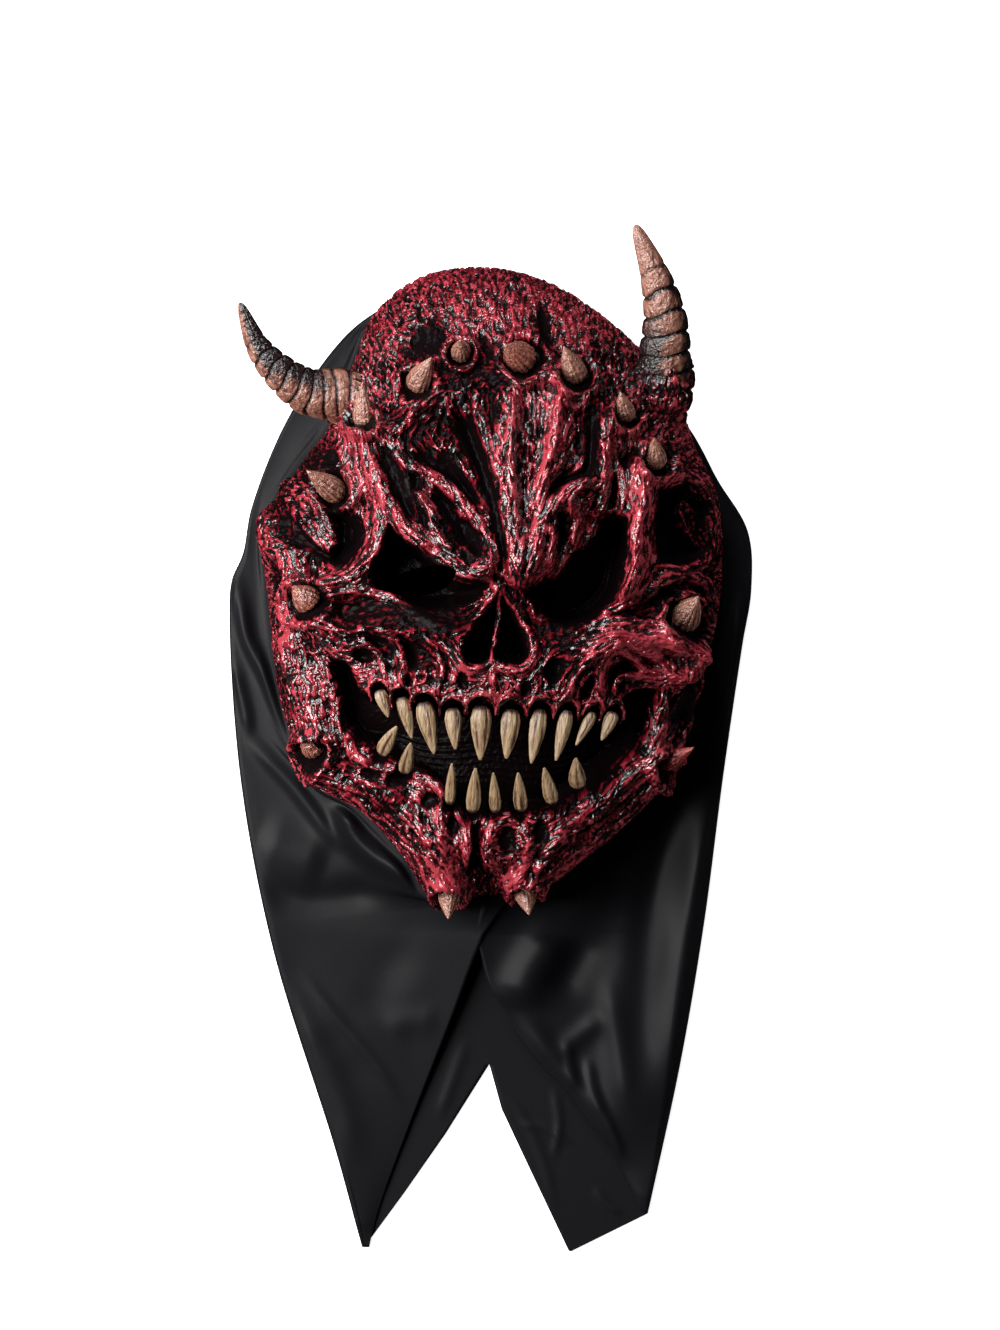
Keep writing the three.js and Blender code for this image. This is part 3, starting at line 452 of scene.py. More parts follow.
# Soft folds of the front layer: path, half width, height
FOLDS = [
    ([(-66, -12), (-62, -36), (-53, -46), (-38, -55), (-26, -66)], 5, 6.5),
    ([(-113, 10), (-102, -2), (-90, -14.5), (-80, -27), (-71, -39), (-62, -46)], 3.4, 2.2),
    ([(-106, -40), (-90, -46), (-72, -52)], 11, 2.5),
    ([(-106, -57), (-88, -67), (-66, -66), (-42, -61)], 7, -2.2),
    ([(-88, -96), (-69.5, -119.5), (-52, -140.5), (-37, -163)], 2.6, 0.8),
    ([(-94, -106), (-78, -132), (-66, -160), (-60, -195)], 6, 1.2),
    ([(-48, -127), (-36, -121), (-22, -122)], 6, 0.8),
    ([(-30, -84), (-46, -100), (-56, -124)], 10, -1),
    ([(-116, 84), (-112, 66), (-109, 50), (-101, 34), (-95, 20), (-88, 6), (-78, -6)], 3, 4),
    ([(-116, 40), (-110, 18), (-108, 4)], 2.6, 2),
    ([(-70, 150), (-80, 138), (-90, 124), (-98, 110)], 2.2, 2.2),
    ([(-46, 200), (-53, 192), (-60, 178)], 2.4, 2.2),
    ([(104, -8), (97, -30), (93, -60), (89, -92), (83, -130), (77, -170)], 8, 5.5),
    ([(88, -16), (80, -36), (72, -66), (68, -100), (67, -130), (68, -160)], 7, -3),
    ([(52, -96), (55, -120), (59, -144), (61, -168)], 5, 1.8),
    ([(52, -118), (40, -128), (27, -138)], 4, 1.6),
    ([(34, -128), (36, -144), (38, -154)], 2.4, 1.4),
    ([(43, -136), (46, -152), (52, -168)], 2.4, 1.6),
    ([(50, -160), (55, -172), (60, -184)], 2, 1),
    ([(52, -50), (40, -72), (30, -92)], 10, 2),
    ([(72, -60), (68, -100), (64, -150), (62, -190)], 15, 5),
    ([(10, -112), (28, -138), (46, -160), (62, -190)], 5, 3),
    ([(31, -78), (23, -91), (16, -104), (12, -118)], 10, 6),
    ([(46, -80), (37, -96), (29, -112)], 7, -2.5),
    ([(112, 74), (110, 50), (106, 20), (103, 0)], 3, 2),
]
# Faint creases of the back layer
CREASES = [
    ([(2, -152), (14, -164), (24, -186), (30, -210)], 2, 0.5),
    ([(28, -150), (31, -168), (28, -186)], 1.6, 0.8),
    ([(12, -168), (24, -170), (38, -178)], 1.6, 0.6),
    ([(46, -196), (52, -204), (60, -210)], 2, 0.5),
    ([(-10, -128), (-16, -146), (-24, -168)], 2.2, 0.6),
]


# Plain maths

def smoothstep(value, low, high):
    share = np.clip((value - low) / (high - low), 0, 1)
    return share * share * (3 - 2 * share)


def bell(value):
    """1 at zero, falling off to both sides."""
    return np.exp(-(value ** 2))


def faded_ends(share, run):
    """0 at both ends of a path, rising to 1 over the given share of its length."""
    return smoothstep(share, 0, run) * smoothstep(1 - share, 0, run)


def unit(vectors):
    return vectors / np.linalg.norm(vectors, axis=-1, keepdims=True)


def twice(angle):
    """The direction at twice an angle, which is the same for a line drawn either way."""
    return np.stack([np.cos(2 * angle), np.sin(2 * angle)])


def turned(x, y, angle):
    c, s = math.cos(angle), math.sin(angle)
    return x * c - y * s, x * s + y * c


def between(t, a, b, start, end):
    """A point that goes from a to b as t goes from start to end."""
    return ((end - t) * a + (t - start) * b) / (end - start)


def lengths_along(points):
    """The length of a straight-sided line up to each of its points."""
    return np.concatenate([[0], np.cumsum(np.linalg.norm(np.diff(points, axis=0), axis=1))])


def line_at(points, share):
    """The places at shares of the length of a straight-sided line."""
    points = np.array(points, float)
    lengths = lengths_along(points)
    return np.stack([np.interp(share, lengths / lengths[-1], column) for column in points.T], axis=-1)


def smooth_line(points, spacing, closed=False):
    """Points at an even spacing on a centripetal Catmull-Rom curve through the given ones."""
    points = np.array(points, float)
    if closed:
        around = np.vstack([points[-1], points, points[:2]])
    else:
        around = np.vstack([2 * points[0] - points[1], points, 2 * points[-1] - points[-2]])
    dense = []
    for group in zip(around, around[1:], around[2:], around[3:]):
        p0, p1, p2, p3 = group
        gaps = [math.sqrt(np.linalg.norm(b - a)) for a, b in zip(group, group[1:])]
        k0, k1, k2, k3 = np.cumsum([0, *gaps])
        t = np.linspace(k1, k2, CURVE_STEPS, endpoint=False)[:, None]
        a1 = between(t, p0, p1, k0, k1)
        a2 = between(t, p1, p2, k1, k2)
        a3 = between(t, p2, p3, k2, k3)
        dense.append(between(t, between(t, a1, a2, k0, k2), between(t, a2, a3, k1, k3), k1, k2))
    dense = np.vstack([*dense, points[:1] if closed else points[-1:]])
    lengths = lengths_along(dense)
    places = np.linspace(0, lengths[-1], max(2, round(lengths[-1] / spacing) + 1))
    return np.stack([np.interp(places, lengths, column) for column in dense.T], axis=1)


def soft_noise(u, v, size, seed):
    """Smooth random values from 0 to 1 that change over about the given size."""
    table = np.random.default_rng(seed).random((256, 256))
    a, b = u / size + 1000, v / size + 1000
    i, j = np.floor(a).astype(int), np.floor(b).astype(int)
    s, t = smoothstep(a - i, 0, 1), smoothstep(b - j, 0, 1)
    i, j, k, l = i % 256, j % 256, (i + 1) % 256, (j + 1) % 256
    low = table[i, j] * (1 - s) + table[k, j] * s
    high = table[i, l] * (1 - s) + table[k, l] * s
    return low * (1 - t) + high * t


def cells(u, v, size, stretch, turn, seed):
    """A net of cells drawn out along a direction: 0 on it and more inside a cell, and each cell's number."""
    jitter = np.random.default_rng(seed).random((256, 256, 3))
    a, b = u / size + 1000, v / size + 1000
    i, j = np.floor(a).astype(int), np.floor(b).astype(int)
    c, s = np.cos(turn), np.sin(turn)
    longer = np.sqrt(stretch)
    nearest = np.full(u.shape, np.inf)
    second = np.full(u.shape, np.inf)
    number = np.zeros(u.shape)
    for di in range(-2, 3):
        for dj in range(-2, 3):
            own = jitter[(i + di) % 256, (j + dj) % 256]
            dx = i + di + own[..., 0] - a
            dy = j + dj + own[..., 1] - b
            distance = np.hypot((dx * c + dy * s) / longer, (dy * c - dx * s) * longer)
            closer = distance < nearest
            second = np.where(closer, nearest, np.minimum(second, distance))
            number = np.where(closer, own[..., 2], number)
            nearest = np.where(closer, distance, nearest)
    return second - nearest, number


def blurred(grid, radius):
    """A grid of values smoothed over about the given number of points."""
    reach = int(2.5 * radius)
    weights = np.exp(-0.5 * (np.arange(-reach, reach + 1) / radius) ** 2)
    weights /= weights.sum()
    for axis in (0, 1):
        padded = np.pad(grid, [(reach, reach) if k == axis else (0, 0) for k in (0, 1)], mode="edge")
        length = grid.shape[axis]
        slices = [np.take(padded, range(k, k + length), axis) * w for k, w in enumerate(weights)]
        grid = np.sum(slices, axis=0)
    return grid


def lowest_near(grid, reach):
    """The lowest value of a grid within about the given number of points."""
    lowest = grid.copy()
    height, width = grid.shape
    for step in (reach // 3, 2 * reach // 3, reach):
        padded = np.pad(grid, step, mode="edge")
        for dj in (0, step, 2 * step):
            for di in (0, step, 2 * step):
                lowest = np.minimum(lowest, padded[dj:dj + height, di:di + width])
    return lowest


# Meshes

def grid_faces(columns, rows, first=0, flip=False):
    i, j = np.meshgrid(np.arange(columns), np.arange(rows))
    a = first + j * (columns + 1) + i
    quads = np.stack([a, a + 1, a + columns + 2, a + columns + 1], axis=-1).reshape(-1, 4)
    return quads[:, ::-1] if flip else quads


def grid_edge(columns, rows, first=0):
    at = first + np.arange((columns + 1) * (rows + 1)).reshape(rows + 1, columns + 1)
    return np.concatenate([at[0, :-1], at[:-1, -1], at[-1, :0:-1], at[:0:-1, 0]])


def new_object(name, points, faces, material, values=None):
    """An object from points in millimetres, with smooth shading and named values at its points."""
    mesh = bpy.data.meshes.new(name)
    mesh.from_pydata((np.asarray(points) * MM).tolist(), [], [list(map(int, face)) for face in faces])
    mesh.validate()
    mesh.shade_smooth()
    for key, numbers in (values or {}).items():
        attribute = mesh.attributes.new(key, "FLOAT", "POINT")
        attribute.data.foreach_set("value", np.asarray(numbers, np.float32).ravel())
    mesh.materials.append(material)
    made = bpy.data.objects.new(name, mesh)
    bpy.context.scene.collection.objects.link(made)
    return made


def second_material(made, material, faces):
    """Gives a second material to those of the first faces that are marked."""
    made.data.materials.append(material)
    slots = np.zeros(len(made.data.polygons), np.int32)
    slots[:len(faces)] = faces
    made.data.polygons.foreach_set("material_index", slots)


def apply_modifiers(made):
    evaluated = made.evaluated_get(bpy.context.evaluated_depsgraph_get())
    applied = bpy.data.meshes.new_from_object(evaluated)
    made.modifiers.clear()
    made.data = applied


# The dome

rim_line = smooth_line(RIM, 1.0, closed=True)[:-1] - DOME_CENTRE
rim_angles = np.arctan2(rim_line[:, 1], rim_line[:, 0])
rim_order = np.argsort(rim_angles)
RIM_ANGLES = rim_angles[rim_order]
RIM_RADII = np.linalg.norm(rim_line, axis=1)[rim_order]


def rim_radius(angle):
    return np.interp(angle, RIM_ANGLES, RIM_RADII, period=2 * math.pi)


def rim_height(angle):
    up = np.sin(angle)
    return RIM_HEIGHT + CHIN_LIFT * np.maximum(0, -up) ** 3 + CROWN_LIFT * np.maximum(0, up) ** 3


def dome_height(x, y):
    dx, dy = x - DOME_CENTRE[0], y - DOME_CENTRE[1]
    angle = np.arctan2(dy, dx)
    share = np.minimum(1, np.hypot(dx, dy) / rim_radius(angle))
    rim = rim_height(angle)
    return rim + (FACE_HEIGHT - rim) * np.sqrt(1 - share ** FULLNESS)


def dome_grid():
    """Places of the points on the plain dome, the direction that carving moves them in, and flat places."""
    p, q = np.meshgrid(np.linspace(-1, 1, COLUMNS + 1), np.linspace(-1, 1, ROWS + 1))
    across, along = p * np.sqrt(1 - q * q / 2), q * np.sqrt(1 - p * p / 2)
    angle = np.arctan2(along * HALF_LENGTH, across * HALF_WIDTH)
    outward = np.minimum(1, np.hypot(across, along))
    front = FRONT_SHARE * np.minimum(1, outward / FRONT_ROUND)
    tilt = np.arcsin(front ** (FULLNESS / 2))
    side = np.clip((outward - FRONT_ROUND) / (1 - FRONT_ROUND), 0, 1)
    tilt = tilt + (math.pi / 2 - tilt) * side
    share = np.sin(tilt) ** (2 / FULLNESS)
    radius, rim = rim_radius(angle), rim_height(angle)
    rise = (FACE_HEIGHT - rim) * np.cos(tilt)
    ray = np.stack([np.cos(angle), np.sin(angle)], axis=-1)
    place = np.dstack([DOME_CENTRE + ray * (radius * share)[..., None], rim + rise])
    slope = np.arctan2((FACE_HEIGHT - rim) * FULLNESS * share ** (FULLNESS - 1), 2 * radius * np.cos(tilt))
    lean = slope * smoothstep(share, FLAT_FRONT, STEEP_SIDE)
    move = np.dstack([ray * np.sin(lean)[..., None], np.cos(lean)])
    run = radius * share + (FACE_HEIGHT - rim - rise) * smoothstep(share, 0.5, 1)
    flat = DOME_CENTRE + ray * run[..., None]
    return place, move, flat


# Carving

class Field:
    """Flat places that carving is worked out for, with their rise, soot, cover of strands and flow."""

    def __init__(self, x, y):
        self.x, self.y = x, y
        self.rise, self.soot, self.cord = np.zeros((3, *x.shape))
        self.flow = np.zeros((2, *x.shape))

    def near(self, path, reach):
        """Places within reach of a path, their distance to it, the share along it and its direction there."""
        low, high = path.min(0) - reach, path.max(0) + reach
        here = np.flatnonzero((self.x > low[0]) & (self.x < high[0]) & (self.y > low[1]) & (self.y < high[1]))
        best = np.full(here.shape, np.inf)
        share, turn = np.zeros((2, *here.shape))
        for k, (a, b) in enumerate(zip(path, path[1:])):
            d = b - a
            dx, dy = self.x[here] - a[0], self.y[here] - a[1]
            t = np.clip((dx * d[0] + dy * d[1]) / (d @ d), 0, 1)
            distance = np.hypot(dx - t * d[0], dy - t * d[1])
            closer = distance < best
            best[closer] = distance[closer]
            share[closer] = (k + t[closer]) / (len(path) - 1)
            turn[closer] = math.atan2(d[1], d[0])
        keep = best < reach
        return here[keep], best[keep], share[keep], turn[keep]

    def inside(self, loop):
        crossed = np.zeros(self.x.shape, bool)
        for (ax, ay), (bx, by) in zip(loop, loop[1:]):
            spans = (ay > self.y) != (by > self.y)
            rise = by - ay if by != ay else 1
            crossed ^= spans & (self.x < ax + (self.y - ay) * (bx - ax) / rise)
        return crossed

    def oval(self, centre, radii, turn=0):
        """Distance from the centre of an oval, which is 1 on its edge, with the turn in degrees."""
        x, y = turned(self.x - centre[0], self.y - centre[1], -math.radians(turn))
        return np.hypot(x / radii[0], y / radii[1])

    def blacken(self, here, soot):
        self.soot[here] = np.maximum(self.soot[here], soot)

    def steer(self, here, distance, turn, reach):
        self.flow[:, here] += bell(distance / reach) * twice(turn)

    def mass(self, path, width, height, crest):
        here, distance, _, turn = self.near(smooth_line(path, 4), 3 * width)
        crest[here] = np.maximum(crest[here], height * bell(distance / width))
        self.steer(here, distance, turn, width)

    def sink(self, loop, depth, slope):
        edge = smooth_line(loop, EDGE_SPACING, closed=True)
        here, distance, _, _ = self.near(edge, 200)
        sunk = np.where(self.inside(edge)[here], smoothstep(distance, 0, slope), 0)
        self.rise[here] += (-depth - self.rise[here]) * sunk
        self.blacken(here, smoothstep(distance, 0, 0.8 * slope) * (sunk > 0))

    def pit(self, centre, radii, turn, depth):
        out = self.oval(centre, radii, turn)
        self.rise -= depth * (1 - smoothstep(out, 0.35, 1.1))
        self.blacken(slice(None), 0.9 * (1 - smoothstep(out, 0.5, 1.05)))

    def groove(self, path, width, depth):
        here, distance, share, turn = self.near(smooth_line(path, 3), 3 * width)
        cut = bell(distance / width) * faded_ends(share, 0.2)
        self.rise[here] -= depth * cut
        self.blacken(here, 0.8 * cut)
        self.steer(here, distance, turn, 2 * width)

    def strand(self, path, width, height, before):
        """A round ridge that stands the height over the surface as it was before the sunken forms."""
        here, distance, share, turn = self.near(smooth_line(path, 2), 2.6 * width)
        taper = 0.55 + 0.45 * np.sqrt(np.clip(4 * share * (1 - share), 0, 1))
        out = distance / (width * taper)
        round_top = np.sqrt(np.clip(1 - (0.8 * out) ** 2, 0, 1))
        hold = 1 - smoothstep(out, 0.55, 1.15)
        target = before[here] + height * (2 * round_top - 1)
        self.rise[here] += (np.maximum(target, self.rise[here]) - self.rise[here]) * hold
        self.soot[here] *= 1 - 0.9 * hold
        self.cord[here] = np.maximum(self.cord[here], (1 - smoothstep(out, 0.4, 0.9)) * min(1, 3 / width))
        self.steer(here, distance, turn, 1.3 * width)

    def fold(self, path, width, height):
        here, distance, share, _ = self.near(smooth_line(path, 4), 3 * width)
        self.rise[here] += height * bell(distance / width) * faded_ends(share, 0.3)

    def boss(self, root, width):
        """The ring of flesh round a spike, with a dark seat in it."""
        out = self.oval(root, (width, width))
        self.rise += BOSS_HEIGHT * bell((out - 0.8) / 0.2) - SEAT_DEPTH * (1 - smoothstep(out, 0.5, 0.65))
        self.blacken(slice(None), 0.9 * (1 - smoothstep(out, 0.5, 0.66)))


def gum_arc(root, tip, width):
    """A scallop of the gum round the root of a tooth."""
    root = np.array(root, float)
    ahead = unit(np.array(tip, float) - root)
    across = 0.85 * width * np.array([ahead[1], -ahead[0]])
    steps = [(-1, 3.5), (-0.8, -2), (0, -5), (0.8, -2), (1, 3.5)]
    return [root + aside * across + forward * ahead for aside, forward in steps]


def carve(field):
    """The large and middle forms of the face."""
    for centre, radii, height in SWELLINGS:
        field.rise += height * bell(field.oval(centre, radii))
    crest = np.zeros(field.x.shape)
    for mass in MASSES:
        field.mass(*mass, crest)
    field.rise += crest
    before = field.rise.copy()
    for sunken in SUNKEN:
        field.sink(*sunken)
    for groove in GROOVES:
        field.groove(*groove)
    for pit in PITS:
        field.pit(*pit)
    for strand in STRANDS:
        field.strand(*strand, before)
    for root, tip, width in [*UPPER_TEETH, *LOWER_TEETH]:
        lean = math.degrees(math.atan2(tip[1] - root[1], tip[0] - root[0])) - 90
        field.pit(root, (SOCKET_SHARE * width, SOCKET_HALF_LENGTH), lean, SOCKET_DEPTH)
    for tooth in UPPER_TEETH:
        field.strand(gum_arc(*tooth), *GUM, before)
    for rim in RIMS:
        field.strand(*rim, before)
    low, high, spacing, height = MOUTH_WRINKLES
    wavy = field.y + 3 * soft_noise(field.x, field.y, 14, 12)
    here = smoothstep(field.y, low, low + 3) * (1 - smoothstep(field.y, high - 3, high)) * (field.soot > 0.9)
    field.rise += height * np.sin(2 * math.pi * wavy / spacing) * here
    for root, _, width, _ in SPIKES:
        field.boss(root, width)


def net_pits(field, flat):
    """How deep the large and the small pits of the flesh's net are, from 0 to 1, and the flow of its strings.
    The flow points along twice the strings' angle and is longer where they are longer."""
    u, v = flat.T
    u = u + NET_SWAY * (soft_noise(u, v, 5, 1) - 0.5)
    v = v + NET_SWAY * (soft_noise(u, v, 5, 2) - 0.5)
    inward = np.arctan2(STRINGS_MEET[1] - field.y, STRINGS_MEET[0] - field.x)
    forehead = smoothstep(field.y, *FOREHEAD)
    crown = smoothstep(field.y, *CROWN)
    flow = field.flow + INWARD_FLOW * twice(inward) * (0.4 + forehead + 2 * crown)
    turn = 0.5 * np.arctan2(flow[1], flow[0])
    strength = np.clip(np.hypot(*flow), 0, 1)
    stretch = 1.5 + 1.8 * strength + 1.4 * forehead
    net, number = cells(u, v, LARGE_CELL, stretch, turn, 3)
    small_net, small_number = cells(u, v, SMALL_CELL, np.minimum(stretch, 2.6), turn, 4)
    crown_net, crown_number = cells(u, v, CROWN_CELL, 4.5, inward, 5)
    net = net + (1.7 * crown_net - net) * crown
    number = number + (crown_number - number) * crown
    off_strands = 1 - 0.3 * field.cord
    pits = smoothstep(net, 0.05, 0.42) * (0.3 + 0.7 * number) * off_strands
    small_number = small_number * (1 - 0.6 * crown)
    small_pits = smoothstep(small_net, 0.05, 0.45) * (0.25 + 0.75 * small_number) * off_strands
    reach = STRING_REACH[0] + STRING_REACH[1] * strength + STRING_REACH[2] * crown
    return pits, small_pits, reach * twice(turn)


def face_paint(field, smooth, pits, small_pits):
    """The red paint on the flesh: about 1 on the worn crests, and below 0 where it is black."""
    crest = np.clip((smooth - blurred(smooth, 7)).ravel(), -5, 2.5)
    patches = soft_noise(field.x, field.y, 11, 7) - 0.5
    paint = EVEN_RED + CREST_RED * crest + PATCHY_RED * patches + CROWN_RED * smoothstep(field.y, 165, 180)
    # painted shade and black paint in broad places, and painted light and wear where the strength is below
    # zero
    for centre, radii, turn, strength in DARK_PAINT_WEAR_SHADE_AND_LIGHT:
        paint -= strength * bell(field.oval(centre, radii, turn))
    paint = LEAST_RED + LEAST_SOFTNESS * np.logaddexp(0, (paint - LEAST_RED) / LEAST_SOFTNESS)
    paint -= 0.75 * pits + 0.5 * small_pits + 1.2 * field.soot
    for socket in (LEFT_EYE, RIGHT_EYE, NOSE):
        paint -= field.inside(smooth_line(socket, EDGE_SPACING, closed=True)) * field.soot
    return paint


def casting_faces():
    """Faces of the skin, of the hollow behind it and of the rim between them."""
    first = (COLUMNS + 1) * (ROWS + 1)
    hollow = (COLUMNS // COARSER, ROWS // COARSER, first)
    skin_edge = grid_edge(COLUMNS, ROWS)
    hollow_edge = grid_edge(*hollow)
    rim = []
    for k, corner in enumerate(hollow_edge):
        following = hollow_edge[(k + 1) % len(hollow_edge)]
        a, b, c, d = (skin_edge[(COARSER * k + step) % len(skin_edge)] for step in range(4))
        rim += [(corner, b, a), (corner, c, b), (following, c, corner), (following, d, c)]
    return grid_faces(COLUMNS, ROWS), [*grid_faces(*hollow, flip=True).tolist(), *rim]


def cut_eye_holes(face):
    """Takes the eye holes out of the casting."""
    n = np.arange(HOLE_SIDES)
    m = (n + 1) % HOLE_SIDES
    walls = np.stack([n, m, m + HOLE_SIDES, n + HOLE_SIDES], axis=1)
    faces = [*walls, n[::-1], n + HOLE_SIDES]
    around = 2 * math.pi * n / HOLE_SIDES
    for centre, radii, turn in EYE_HOLES:
        x, y = turned(radii[0] * np.cos(around), radii[1] * np.sin(around), math.radians(turn))
        ends = [np.column_stack([centre[0] + x, centre[1] + y, np.full(HOLE_SIDES, z)]) for z in HOLE_SPAN]
        cutter = new_object("eye_cutter", np.vstack(ends), faces, face.data.materials[0])
        modifier = face.modifiers.new("hole", "BOOLEAN")
        modifier.operation = "DIFFERENCE"
        modifier.solver = "MANIFOLD"
        modifier.object = cutter
        apply_modifiers(face)
        bpy.data.objects.remove(cutter)


def face_object(material, dull_material):
    """The casting without its horns, spikes and teeth, and a function that finds its skin."""
    place, move, flat = dome_grid()
    shape = place.shape[:2]
    field = Field(place[..., 0].ravel(), place[..., 1].ravel())
    carve(field)
    pits, small_pits, flow = net_pits(field, flat.reshape(-1, 2))
    smooth = field.rise.reshape(shape)
    grain = (1 - 0.9 * field.soot) * (1 - 0.25 * field.cord)
    rough = (PIT_DEPTH * pits + SMALL_PIT_DEPTH * small_pits) * grain
    paint = face_paint(field, smooth, pits, small_pits)
    points = place + move * (smooth - rough.reshape(shape))[..., None]
    below = np.minimum(lowest_near(smooth, HOLLOW_REACH), 0) - LATEX
    inner = (place + move * below[..., None])[::COARSER, ::COARSER].reshape(-1, 3)
    points, move = points.reshape(-1, 3), move.reshape(-1, 3)
    skin_faces, hidden_faces = casting_faces()
    flow_x, flow_y = np.concatenate([flow, np.ones((2, len(inner)))], axis=1)
    values = {"paint": np.append(paint, np.full(len(inner), -1.0)), "flow_x": flow_x, "flow_y": flow_y}
    faces = [*skin_faces.tolist(), *hidden_faces]
    face = new_object("latex_face", np.vstack([points, inner]), faces, material, values)
    second_material(face, dull_material, paint[skin_faces].mean(axis=1) < DULL_PAINT)
    cut_eye_holes(face)

    def skin(root):
        """The skin's place and direction at a flat place."""
        nearest = np.argmin(np.hypot(field.x - root[0], field.y - root[1]))
        return points[nearest], move[nearest]

    return face, skin


# Cloth hood

def fold_stations(side):
    """Places on one side's fold line, from the flap's tip to the throat and round the face to the crown."""
    line = smooth_line(CLOTH_SIDES, 0.5)
    above = np.flatnonzero(line[:, 1] >= THROAT_Y)
    crown = (above[0] + above[-1]) // 2
    if side > 0:
        flap, ring = line[:above[-1] - 1:-1], line[above[-1]:crown - 1:-1]
    else:
        flap, ring = line[:above[0] + 1], line[above[0]:crown + 1]
    flap_places = line_at(flap, np.linspace(0, 1, FLAP_ROWS, endpoint=False))
    return np.vstack([flap_places, line_at(ring, np.linspace(0, 1, RING_ROWS))])


def fold_radius(width):
    """Radius of the rounded fold where the layer has this width."""
    return min(FOLD_RADIUS, 0.2 * width)


def folds_at(x, y, folds):
    field = Field(x.ravel(), y.ravel())
    for fold in folds:
        field.fold(*fold)
    return field.rise.reshape(x.shape)


def turn_from_chin(place, side):
    """The angle from straight down to a place, seen from the dome's centre, towards a side."""
    return math.atan2(side * (place[0] - DOME_CENTRE[0]), DOME_CENTRE[1] - place[1])


def rim_edge(fold, side, start):
    """The shoulder and the tucked-in edge under the rim that face a place on the fold, with their height."""
    turn = max(0, (turn_from_chin(fold, side) - start) / (math.pi - start)) * math.pi
    angle = side * turn - math.pi / 2
    lap = CHIN_LAP * max(0, 1 - turn / LAP_TURN)
    step = THROAT_STEP * lap / CHIN_LAP if side > 0 else 0
    reach = min(rim_radius(angle) + RIM_CLEARANCE, np.linalg.norm(fold - DOME_CENTRE) - LEAST_WALL)
    ray = np.array([math.cos(angle), math.sin(angle)])
    shoulder = DOME_CENTRE + reach * ray - (side * lap, 0)
    return shoulder, shoulder - HEM * ray, rim_height(angle) - LIP_GAP - CLOTH / 2 - step


def front_rows(side, hem):
    """Rows of points of one half of the front layer, from its rounded fold to its inner edge."""
    stations = fold_stations(side)
    hem_line = smooth_line(hem, 1)
    start = turn_from_chin(stations[FLAP_ROWS], side)
    apex = APEX_HEIGHT - (THROAT_STEP if side > 0 else 0)
    rows = []
    for k, fold in enumerate(stations):
        if k < FLAP_ROWS:
            share = k / FLAP_ROWS
            shoulder = tucked = line_at(hem_line, share)
            height = TIP_HEIGHT + (apex - TIP_HEIGHT) * share ** CLIMB
        else:
            shoulder, tucked, height = rim_edge(fold, side, start)
        width = np.linalg.norm(shoulder - fold)
        inward = (shoulder - fold) / width
        radius = fold_radius(width)
        row = []
        for turn in np.linspace(-math.pi / 2, math.pi / 2, FOLD_STEPS, endpoint=False):
            place = fold + inward * radius * (1 - math.cos(turn))
            row.append((*place, BACK_HEIGHT + radius * (1 + math.sin(turn))))
        low = BACK_HEIGHT + 2 * radius
        for t in np.linspace(0, 1, ACROSS):
            place = fold + inward * (radius + (width - radius) * t)
            row.append((*place, low + (height - low) * t ** CLIMB))
        for t in np.linspace(0, 1, TUCK_STEPS)[1:]:
            row.append((*(shoulder + (tucked - shoulder) * t), height))
        rows.append(row)
    return np.array(rows)


def front_heights(rows):
    """The rows with folds, which fade out at the rounded fold and where the cloth runs in under the rim."""
    x, y, z = rows[..., 0], rows[..., 1], rows[..., 2]
    angle = np.arctan2(y - DOME_CENTRE[1], x - DOME_CENTRE[0])
    beyond = np.hypot(x - DOME_CENTRE[0], y - DOME_CENTRE[1]) - rim_radius(angle)
    index = np.arange(rows.shape[1])[None, :]
    free = smoothstep(beyond, RIM_CLEARANCE, RIM_CLEARANCE + 5)
    free = free * smoothstep(index, FOLD_STEPS - 1, FOLD_STEPS + 4)
    sway = 1.2 * (soft_noise(x, y, 30, 31) - 0.5) + 0.3 * (soft_noise(x, y, 12, 32) - 0.5)
    lifted = z + free * (folds_at(x, y, FOLDS) + sway)
    held = np.maximum(lifted, np.minimum(z, LEAST_HEIGHT))
    return np.dstack([x, y, np.where(index > FOLD_STEPS, held, lifted)])


def sheet_object(name, grids, material):
    """A cloth of even thickness from grids of points that share their edges."""
    points, faces = [], []
    for grid in grids:
        rows, columns = grid.shape[:2]
        faces += grid_faces(columns - 1, rows - 1, sum(len(p) for p in points)).tolist()
        points.append(grid.reshape(-1, 3))
    made = new_object(name, np.vstack(points), faces, material)
    joined = bmesh.new()
    joined.from_mesh(made.data)
    bmesh.ops.remove_doubles(joined, verts=joined.verts, dist=0.02 * MM)
    bmesh.ops.recalc_face_normals(joined, faces=joined.faces)
    joined.to_mesh(made.data)
    joined.free()
    modifier = made.modifiers.new("thickness", "SOLIDIFY")
    modifier.thickness = CLOTH * MM
    modifier.offset = 0
    apply_modifiers(made)
    made.data.shade_smooth()
    return made


def back_grids():
    """The back layer's two halves, which meet on its middle line, with the neck between their lower ends."""
    grids = []
    for side, neck in ((-1, NECK_LEFT), (1, NECK_RIGHT)):
        middle = [neck[-1], fold_stations(-1)[-1]]
        rows = []
        for k, fold in enumerate(fold_stations(side)):
            if k < FLAP_ROWS:
                inner = line_at(neck, k / FLAP_ROWS)
            else:
                inner = line_at(middle, (k - FLAP_ROWS) / (RING_ROWS - 1))
            span = inner - fold
            width = np.linalg.norm(span)
            inset = fold_radius(width) / max(width, 1e-6)
            rows.append([fold + span * (inset + (1 - inset) * t) for t in np.linspace(0, 1, ACROSS)])
        rows = np.array(rows)
        grids.append(np.dstack([rows, BACK_HEIGHT + folds_at(rows[..., 0], rows[..., 1], CREASES)]))
    return grids


def hood_objects(material):
    """The back layer and the two halves of the front layer."""
    back = sheet_object("hood_back", back_grids(), material)
    left = sheet_object("hood_left", [front_heights(front_rows(-1, LEFT_HEM))], material)
    right = sheet_object("hood_right", [front_heights(front_rows(1, RIGHT_HEM))], material)
    return back, left, right


# Horns, spikes and teeth

